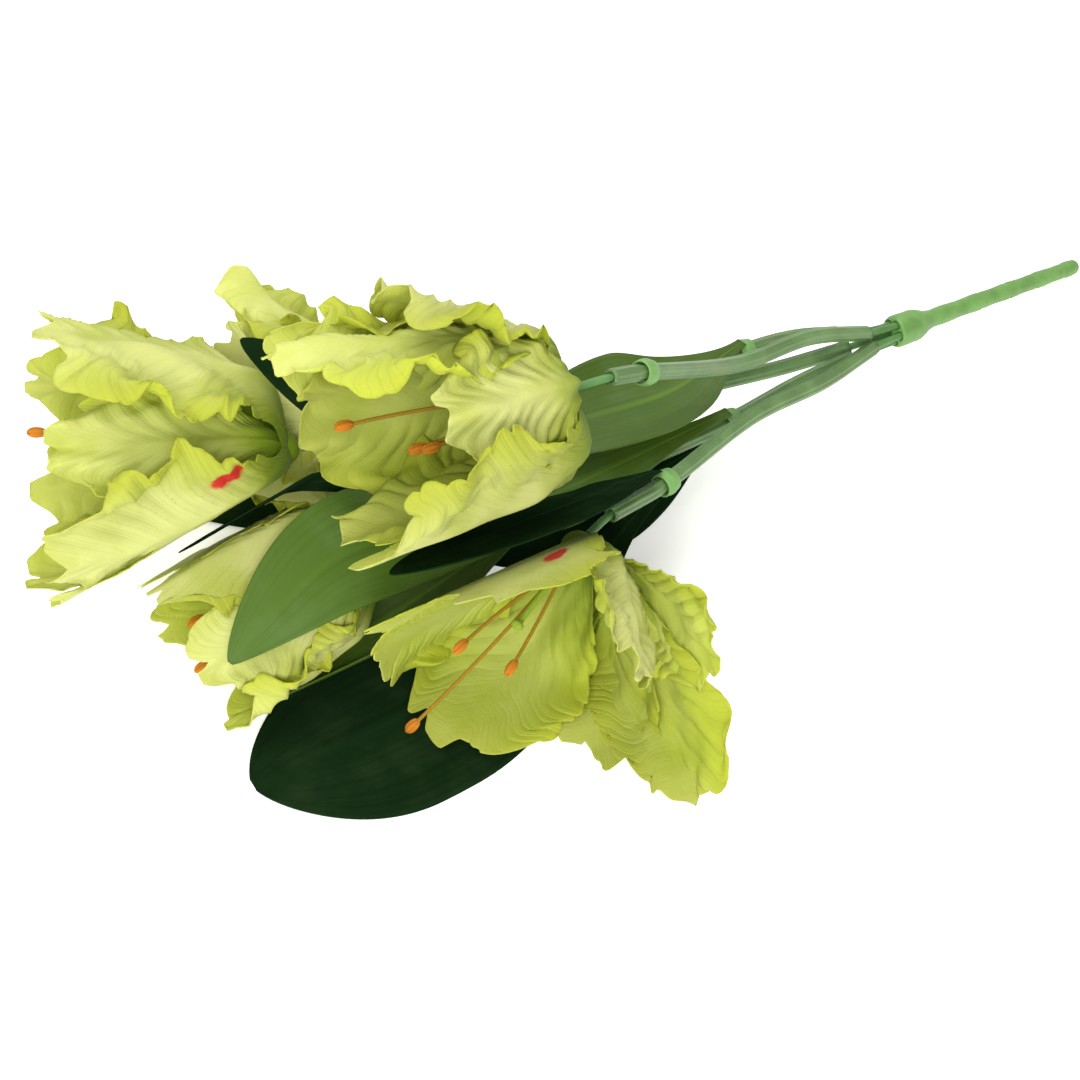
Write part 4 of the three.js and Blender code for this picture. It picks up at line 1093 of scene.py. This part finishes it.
class TULIP_OT_leaves(bpy.types.Operator):
    """Make the coated leaves"""
    bl_idname = "tulip.leaves"
    bl_label = "Leaves"

    def execute(self, context):
        sizes, colours = context.scene.tulip_sizes, context.scene.tulip_colours
        finishes = {
            # The dark leaves' small pale patches are partly painted sheen, as they have no gloss.
            "dark_leaf": coated_leaf("waxed_dark_leaf", colours.dark_leaf, 0.5, 0.0, 0.12, 0.0),
            "mid_leaf": coated_leaf("printed_mid_leaf", colours.mid_leaf, 0.6, 0.1, 0.6, 0.25),
        }
        for number, (name, leaf) in enumerate(LEAVES.items()):
            draw = np.random.default_rng(200 + number)
            middle, u, v = leaf_surface(name, leaf, draw)
            points, faces, rim = blade(middle, sizes.leaf_thickness)
            outer = np.concatenate([np.zeros(u.size), np.ones(u.size)])
            piece = new_piece(f"{name}_cloth", points, faces, finishes[leaf["slot"]],
                              blade_uv(u, v), {"outer": outer}, rim)
            dress(piece, leaf["slot"], name)
        return {"FINISHED"}


# ------------------------------------------------------------------ node trees


def new_tree(name, sockets):
    """A Geometry Nodes tree with named inputs. Returns it and the sockets of its inputs."""
    tree = bpy.data.node_groups.new(name, "GeometryNodeTree")
    tree.interface.new_socket("Geometry", in_out="INPUT", socket_type="NodeSocketGeometry")
    for label, kind in sockets:
        tree.interface.new_socket(label, in_out="INPUT", socket_type=f"NodeSocket{kind}")
    tree.interface.new_socket("Geometry", in_out="OUTPUT", socket_type="NodeSocketGeometry")
    return tree, add_node(tree, "NodeGroupInput").outputs


def close_tree(tree, geometry, material):
    """Ends a tree: instances are made real and get their material."""
    real = add_node(tree, "GeometryNodeRealizeInstances", [geometry])
    shown = add_node(tree, "GeometryNodeSetMaterial", {0: real, "Material": material})
    add_node(tree, "NodeGroupOutput", {0: shown})


def place_and_angle(tree):
    """The place in the piece that is being shaped, and its angle round the z axis."""
    place = add_node(tree, "GeometryNodeInputPosition")
    x, y, _ = add_node(tree, "ShaderNodeSeparateXYZ", [place]).outputs
    return place, add_node(tree, "ShaderNodeMath", [y, x], operation="ARCTAN2")


def fluted_tube_tree():
    """A tube along each curve, with round ridges: its profile is a circle that is pulled in
    between the ridges."""
    tree, given = new_tree("fluted_tube", [
        ("Radius", "Float"), ("Ridge Depth", "Float"), ("Ridges", "Int"), ("Sides", "Int"),
        ("Closed Ends", "Bool"), ("Material", "Material")])
    circle = add_node(tree, "GeometryNodeCurvePrimitiveCircle", {
        "Resolution": given["Sides"], "Radius": given["Radius"]})
    place, angle = place_and_angle(tree)
    turns = add_node(tree, "ShaderNodeMath", [angle, given["Ridges"]], operation="MULTIPLY")
    ripple = add_node(tree, "ShaderNodeMath", [turns], operation="COSINE")
    groove = add_node(tree, "ShaderNodeMath", [ripple, 0.5, -0.5], operation="MULTIPLY_ADD")
    pull = add_node(tree, "ShaderNodeMath", [groove, given["Ridge Depth"]], operation="MULTIPLY")
    outwards = add_node(tree, "ShaderNodeVectorMath", [place], operation="NORMALIZE")
    offset = add_node(tree, "ShaderNodeVectorMath", {0: outwards, "Scale": pull}, operation="SCALE")
    profile = add_node(tree, "GeometryNodeSetPosition", {0: circle, "Offset": offset})
    tube = add_node(tree, "GeometryNodeCurveToMesh", {
        0: given["Geometry"], 1: profile, "Fill Caps": given["Closed Ends"]})
    close_tree(tree, tube, given["Material"])
    return tree


def stamen_tree():
    """Filaments along the curves, with a lobed, powdery anther at the end of each."""
    tree, given = new_tree("stamens", [
        ("Filament Radius", "Float"), ("Anther Width", "Float"), ("Anther Length", "Float"),
        ("Material", "Material")])
    circle = add_node(tree, "GeometryNodeCurvePrimitiveCircle", {
        "Resolution": 10, "Radius": given["Filament Radius"]})
    tube = add_node(tree, "GeometryNodeCurveToMesh", {
        0: given["Geometry"], 1: circle, "Fill Caps": True})
    tube = add_node(tree, "GeometryNodeStoreNamedAttribute", {
        0: tube, "Name": "part", "Value": 0.5}, data_type="FLOAT", domain="POINT")

    # The anther is a ball that is lobed, roughened with powder and stretched.
    ball = add_node(tree, "GeometryNodeMeshUVSphere", {"Segments": 32, "Rings": 20, "Radius": 1.0})
    place, angle = place_and_angle(tree)
    turns = add_node(tree, "ShaderNodeMath", [angle, 2.0], operation="MULTIPLY")
    swing = add_node(tree, "ShaderNodeMath", [turns], operation="SINE")
    lobes = add_node(tree, "ShaderNodeMath", [swing], operation="ABSOLUTE")
    lobes = add_node(tree, "ShaderNodeMath", [lobes, 0.3], operation="MULTIPLY")
    powder = add_node(tree, "ShaderNodeTexNoise", {"Vector": place, "Scale": 5.0})
    powder = add_node(tree, "ShaderNodeMath", [powder, 0.24, 0.68], operation="MULTIPLY_ADD")
    size = add_node(tree, "ShaderNodeMath", [powder, lobes], operation="ADD")
    shaped = add_node(tree, "ShaderNodeVectorMath", {0: place, "Scale": size}, operation="SCALE")
    lobed = add_node(tree, "GeometryNodeSetPosition", {0: ball, "Position": shaped})
    width, length = given["Anther Width"], given["Anther Length"]
    scale = add_node(tree, "ShaderNodeCombineXYZ", [width, width, length])
    anther = add_node(tree, "GeometryNodeTransform", {0: lobed, "Scale": scale})
    anther = add_node(tree, "GeometryNodeStoreNamedAttribute", {
        0: anther, "Name": "part", "Value": 1.0}, data_type="FLOAT", domain="POINT")

    ends = add_node(tree, "GeometryNodeCurveEndpointSelection", [0, 1])
    tangent = add_node(tree, "GeometryNodeInputTangent")
    facing = add_node(tree, "FunctionNodeAlignRotationToVector", {"Vector": tangent}, axis="Z")
    placed = add_node(tree, "GeometryNodeInstanceOnPoints", {
        0: given["Geometry"], "Selection": ends, "Instance": anther, "Rotation": facing})
    both = add_node(tree, "GeometryNodeJoinGeometry", [tube])
    # The anthers go into the same input as the filaments.
    tree.links.new(placed.outputs[0], both.inputs[0])
    smoothed = add_node(tree, "GeometryNodeSetShadeSmooth", [both])
    close_tree(tree, smoothed, given["Material"])
    return tree


def follow(name, paths, tree, **inputs):
    """Runs a tree on curves through the paths (in millimetres) and keeps the plain mesh."""
    curves = bpy.data.curves.new(name, "CURVE")
    curves.dimensions = "3D"
    for path in paths:
        spline = curves.splines.new("POLY")
        spline.points.add(len(path) - 1)
        weights = np.ones((len(path), 1))
        spline.points.foreach_set("co", np.hstack([in_frame(path), weights]).ravel())
    source = bpy.data.objects.new(f"{name}_path", curves)
    bpy.context.scene.collection.objects.link(source)
    modifier = source.modifiers.new("Follow", "NODES")
    modifier.node_group = tree
    for item in tree.interface.items_tree:
        key = item.name.lower().replace(" ", "_")
        if item.in_out == "INPUT" and key in inputs:
            modifier[item.identifier] = inputs[key]
    graph = bpy.context.evaluated_depsgraph_get()
    mesh = bpy.data.meshes.new_from_object(source.evaluated_get(graph))
    mesh.name = name
    bpy.data.objects.remove(source)
    mesh.polygons.foreach_set("use_smooth", np.ones(len(mesh.polygons), bool))
    piece = bpy.data.objects.new(name, mesh)
    bpy.context.scene.collection.objects.link(piece)
    return piece


# ------------------------------------------------------------------ stamens


FILAMENT_CIRCLE, FILAMENT_RISE = 1.2, 1.5
FILAMENT_RADIUS = 0.7
ANTHER_WIDTH, ANTHER_LENGTH = 1.9, 3.4
PISTIL_PROFILE = (
    (0, 0), (2.6, 0), (2.7, 2), (2.3, 6), (1.6, 9), (1.15, 12), (1.1, 27), (1.3, 29.2),
    (2.2, 29.6), (2.5, 30.6), (2.1, 31.6), (1.0, 32.1), (0, 32.2),
)


def filament_paths(bloom):
    """The pistil's foot, and the path of each stamen's filament."""
    aim = bloom_axes(bloom)[0]
    foot = np.array(bloom["base"], float) + aim * (RECEPTACLE_RADIUS + GAP)
    paths = []
    for shape in bloom["stamens"]:
        stations = leaning_path(
            bloom, shape, lambda radial: foot + radial * FILAMENT_CIRCLE + aim * FILAMENT_RISE)
        paths.append(stations[0])
    return foot, paths


class TULIP_OT_stamens(bpy.types.Operator):
    """Make the pistil and the stamens of every bloom"""
    bl_idname = "tulip.stamens"
    bl_label = "Pistils and stamens"

    def execute(self, context):
        material = flocked_stamen(context.scene.tulip_colours)
        tree = stamen_tree()
        for key, bloom in BLOOMS.items():
            foot, paths = filament_paths(bloom)
            piece = follow(f"stamens_{key}", paths, tree, filament_radius=FILAMENT_RADIUS * MM,
                           anther_width=ANTHER_WIDTH * MM, anther_length=ANTHER_LENGTH * MM,
                           material=material)
            points, faces = turned(PISTIL_PROFILE, PISTIL_SIDES, foot, bloom["aim"])
            pistil = new_piece("pistil", points, faces, material, attributes={
                "part": np.zeros(len(points))})
            with context.temp_override(active_object=piece, object=piece,
                                       selected_editable_objects=[piece, pistil]):
                bpy.ops.object.join()
            dress(piece, "stamens", f"bloom_{key}_stamens")
        return {"FINISHED"}


# ------------------------------------------------------------------ stems, sleeves, collars


def stem_path(key, start, end):
    """Points between two stations of a stem."""
    count = (end - start) * STATION_STEPS + 1
    stations = STEM_ROUTES[key].at(np.linspace(0, 1, STEM_STATIONS + 1))
    return Route(stations[start:end + 1]).at(np.linspace(0, 1, count))


class TULIP_OT_stems(bpy.types.Operator):
    """Make the coated wire stems and their ridged sleeves"""
    bl_idname = "tulip.stems"
    bl_label = "Stems and sleeves"

    def execute(self, context):
        sizes, colours = context.scene.tulip_sizes, context.scene.tulip_colours
        wire = moulded_plastic("coated_wire_stem", colours.stem, 0.5)
        soft = moulded_plastic("extruded_ridged_sleeve", colours.sleeve, 0.42, 10.0, 0.2,
                               brown=linear("#7d6a4a"))
        tree = fluted_tube_tree()
        for key in STEMS:
            stem = follow(f"wire_{key}", [stem_path(key, 0, STEM_STATIONS)], tree,
                          radius=STEM_RADIUS * MM, ridge_depth=0.0, ridges=3, sides=WIRE_SIDES,
                          closed_ends=True, material=wire)
            dress(stem, "stem", f"stem_{key}")
            sleeve = follow(f"ridged_sleeve_{key}", [stem_path(key, *SLEEVE_STATIONS)], tree,
                            radius=sizes.sleeve_radius * MM, ridge_depth=sizes.ridge_depth * MM,
                            ridges=sizes.ridges, sides=TUBE_SIDES, closed_ends=False,
                            material=soft)
            wall = sleeve.modifiers.new("Wall", "SOLIDIFY")
            wall.thickness = sizes.sleeve_wall * MM
            wall.offset = -1
            dress(sleeve, "sleeve", f"sleeve_{key}")
        return {"FINISHED"}


def collar_profile():
    """A moulded band with a bead at its middle and rounded ends."""
    half = COLLAR_LENGTH / 2
    outside = [(COLLAR_BORE, -half), (4.3, -half), (4.55, -0.93 * half), (4.7, -0.75 * half),
               (4.62, -0.55 * half), (4.8, -0.42 * half), (5.1, -0.2 * half), (5.15, 0),
               (5.1, 0.2 * half), (4.8, 0.42 * half), (4.62, 0.55 * half), (4.7, 0.75 * half),
               (4.55, 0.93 * half), (4.3, half), (COLLAR_BORE, half)]
    return outside + [(COLLAR_BORE, 0.5 * half), (COLLAR_BORE, -0.5 * half)]


class TULIP_OT_collars(bpy.types.Operator):
    """Make the moulded collars that the leaves grow from"""
    bl_idname = "tulip.collars"
    bl_label = "Collars"

    def execute(self, context):
        material = moulded_plastic("moulded_collar", context.scene.tulip_colours.collar, 0.5)
        for name, (stem, station) in COLLARS.items():
            at = station / STEM_STATIONS
            route = STEM_ROUTES[stem]
            points, faces = turned(collar_profile(), TUBE_SIDES, route.at(at)[0],
                                   route.tangent(at)[0])
            piece = new_piece(f"{name}_moulding", points, faces, material)
            dress(piece, "collar", name)
        return {"FINISHED"}


def main_profile(length):
    """Radius along the main stem: a rounded end, ring marks, swells between and the hub."""
    rows = [(0, 0), (0.45, 0.12), (0.78, 0.6), (0.93, 1.4), (0.985, 2.4), (1.0, 3.4)]
    profile = [(share * MAIN_TIP_RADIUS, y) for share, y in rows]
    hub_start = length - HUB_LENGTH
    for y in np.arange(4.5, hub_start - 3, 0.75):
        radius = mix(MAIN_TIP_RADIUS, MAIN_TOP_RADIUS, y / length)
        nearest = min(abs(y - mark) for mark in RING_MARKS)
        radius -= 0.4 * math.exp(-(nearest / 0.7) ** 2)
        radius += 0.16 * math.sin(y * 0.34)
        profile.append((radius, y))
    profile += [
        (MAIN_TOP_RADIUS, hub_start - 3), (4.3, hub_start - 0.6), (5.0, hub_start + 1.2),
        (5.5, hub_start + 2.4), (6.1, hub_start + 4), (6.5, hub_start + 5.4),
        (HUB_RADIUS, hub_start + 7), (6.6, hub_start + 9), (HUB_RADIUS, hub_start + 11),
        (6.75, length - 3), (HUB_RADIUS, length - 1.2), (6.45, length - 0.4), (6.0, length),
        (0, length),
    ]
    return profile


class TULIP_OT_main_stem(bpy.types.Operator):
    """Make the moulded main stem and cut its sockets"""
    bl_idname = "tulip.main_stem"
    bl_label = "Main stem"

    def execute(self, context):
        material = moulded_plastic("moulded_main_stem", context.scene.tulip_colours.main_stem, 0.5,
                                   7.0, 0.3)
        length = np.linalg.norm(MAIN_HUB - MAIN_TIP)
        points, faces = turned(main_profile(length), LATHE_SIDES, MAIN_TIP, main_axis())
        points[:, 2] = np.maximum(points[:, 2], 0)
        piece = new_piece("main_stem_moulding", points, faces, material)
        cutters = []
        for stem in STEMS.values():
            profile = [(0, 0), (SOCKET_RADIUS, 0), (SOCKET_RADIUS, SOCKET_DEPTH + 2),
                       (0, SOCKET_DEPTH + 2)]
            start = socket_point(stem["socket"], -SOCKET_DEPTH)
            hole = new_piece("socket", *turned(profile, SOCKET_SIDES, start, main_axis()), material)
            cut = piece.modifiers.new("Socket", "BOOLEAN")
            cut.object, cut.solver = hole, "EXACT"
            cutters.append(hole)
        graph = context.evaluated_depsgraph_get()
        cut_mesh = bpy.data.meshes.new_from_object(piece.evaluated_get(graph))
        piece.modifiers.clear()
        piece.data = cut_mesh
        for hole in cutters:
            bpy.data.objects.remove(hole)
        dress(piece, "main_stem", "main_stem")
        return {"FINISHED"}


# ------------------------------------------------------------------ stage

# The camera looks at the middle of the bunch from this side, as far as a tabletop studio's.
CAMERA_TARGET = np.array([-275.6, -16.7, 0.0])
CAMERA_AZIMUTH, CAMERA_ELEVATION = -30.0, 50.0
CAMERA_DISTANCE = 1000.0
CAMERA_LENS = 85.0
FLOOR_HALF, FLOOR_DROP = 4000.0, 0.2

# Soft boxes: place round the target in mm, edge length in mm, power in watts.
SOFT_BOXES = (
    ("overhead", (-100, 250, 1500), 1300, 14.5),
    ("near_fill", (-700, -1000, 900), 900, 20.0),
    ("far_rim", (700, 900, 900), 700, 5.0),
)


def look_at(thing, place, target):
    """Moves a light or the camera to a place and turns it to the target."""
    place, target = Vector(place), Vector(target)
    thing.location = place
    thing.rotation_euler = (target - place).to_track_quat("-Z", "Y").to_euler()


class TULIP_OT_stage(bpy.types.Operator):
    """Set the floor, the soft light and the camera"""
    bl_idname = "tulip.stage"
    bl_label = "Floor, light and camera"

    def execute(self, context):
        scene, colours = context.scene, context.scene.tulip_colours
        paper, tree = new_material("seamless_paper")
        shader = add_node(tree, "ShaderNodeBsdfPrincipled", {
            "Base Color": colours.backdrop, "Roughness": 0.9,
            "Emission Color": colours.backdrop, "Emission Strength": 0.35})
        add_node(tree, "ShaderNodeOutputMaterial", {"Surface": shader})
        corners = [(x * FLOOR_HALF, y * FLOOR_HALF, -FLOOR_DROP)
                   for x, y in ((-1, -1), (1, -1), (1, 1), (-1, 1))]
        new_piece("floor", corners, [(0, 1, 2, 3)], paper)
        target = in_frame(CAMERA_TARGET)
        for name, place, edge, power in SOFT_BOXES:
            light = bpy.data.lights.new(name, "AREA")
            light.size, light.energy = edge * MM, power
            lamp = bpy.data.objects.new(name, light)
            scene.collection.objects.link(lamp)
            look_at(lamp, target + np.array(place) * MM, target)
        world = bpy.data.worlds.new("studio")
        world.use_nodes = True
        sky = world.node_tree.nodes["Background"].inputs
        sky["Color"].default_value = (*colours.backdrop, 1.0)
        sky["Strength"].default_value = 0.55
        scene.world = world
        scene.view_settings.view_transform = "Standard"
        azimuth, elevation = CAMERA_AZIMUTH * DEG, CAMERA_ELEVATION * DEG
        back = np.array([math.sin(azimuth) * math.cos(elevation),
                         -math.cos(azimuth) * math.cos(elevation), math.sin(elevation)])
        camera = bpy.data.cameras.new("camera")
        camera.lens, camera.sensor_width = CAMERA_LENS, 36
        camera.clip_start, camera.clip_end = 0.05, 20
        scene.camera = bpy.data.objects.new("camera", camera)
        scene.collection.objects.link(scene.camera)
        look_at(scene.camera, target + back * CAMERA_DISTANCE * MM, target)
        return {"FINISHED"}


# ------------------------------------------------------------------ panel and registration


class TULIP_PT_bunch(bpy.types.Panel):
    """Lists the bunch's sizes, colours and pieces"""
    bl_label = "Parrot tulip bunch"
    bl_idname = "TULIP_PT_bunch"
    bl_space_type = "VIEW_3D"
    bl_region_type = "UI"
    bl_category = "Tulips"

    def draw(self, context):
        for group in (context.scene.tulip_sizes, context.scene.tulip_colours):
            for name in group.__annotations__:
                self.layout.prop(group, name)
        for operator in OPERATORS:
            self.layout.operator(operator.bl_idname)


OPERATORS = (TULIP_OT_petals, TULIP_OT_stamens, TULIP_OT_leaves, TULIP_OT_stems,
             TULIP_OT_collars, TULIP_OT_main_stem, TULIP_OT_stage)
CLASSES = (TulipSizes, TulipColours, *OPERATORS, TULIP_PT_bunch)


def register():
    for cls in CLASSES:
        bpy.utils.register_class(cls)
    bpy.types.Scene.tulip_sizes = bpy.props.PointerProperty(type=TulipSizes)
    bpy.types.Scene.tulip_colours = bpy.props.PointerProperty(type=TulipColours)


def unregister():
    del bpy.types.Scene.tulip_colours
    del bpy.types.Scene.tulip_sizes
    for cls in reversed(CLASSES):
        bpy.utils.unregister_class(cls)


def main():
    register()
    bpy.ops.tulip.petals()
    bpy.ops.tulip.stamens()
    bpy.ops.tulip.leaves()
    bpy.ops.tulip.stems()
    bpy.ops.tulip.collars()
    bpy.ops.tulip.main_stem()
    bpy.ops.tulip.stage()


if __name__ == "__main__":
    main()
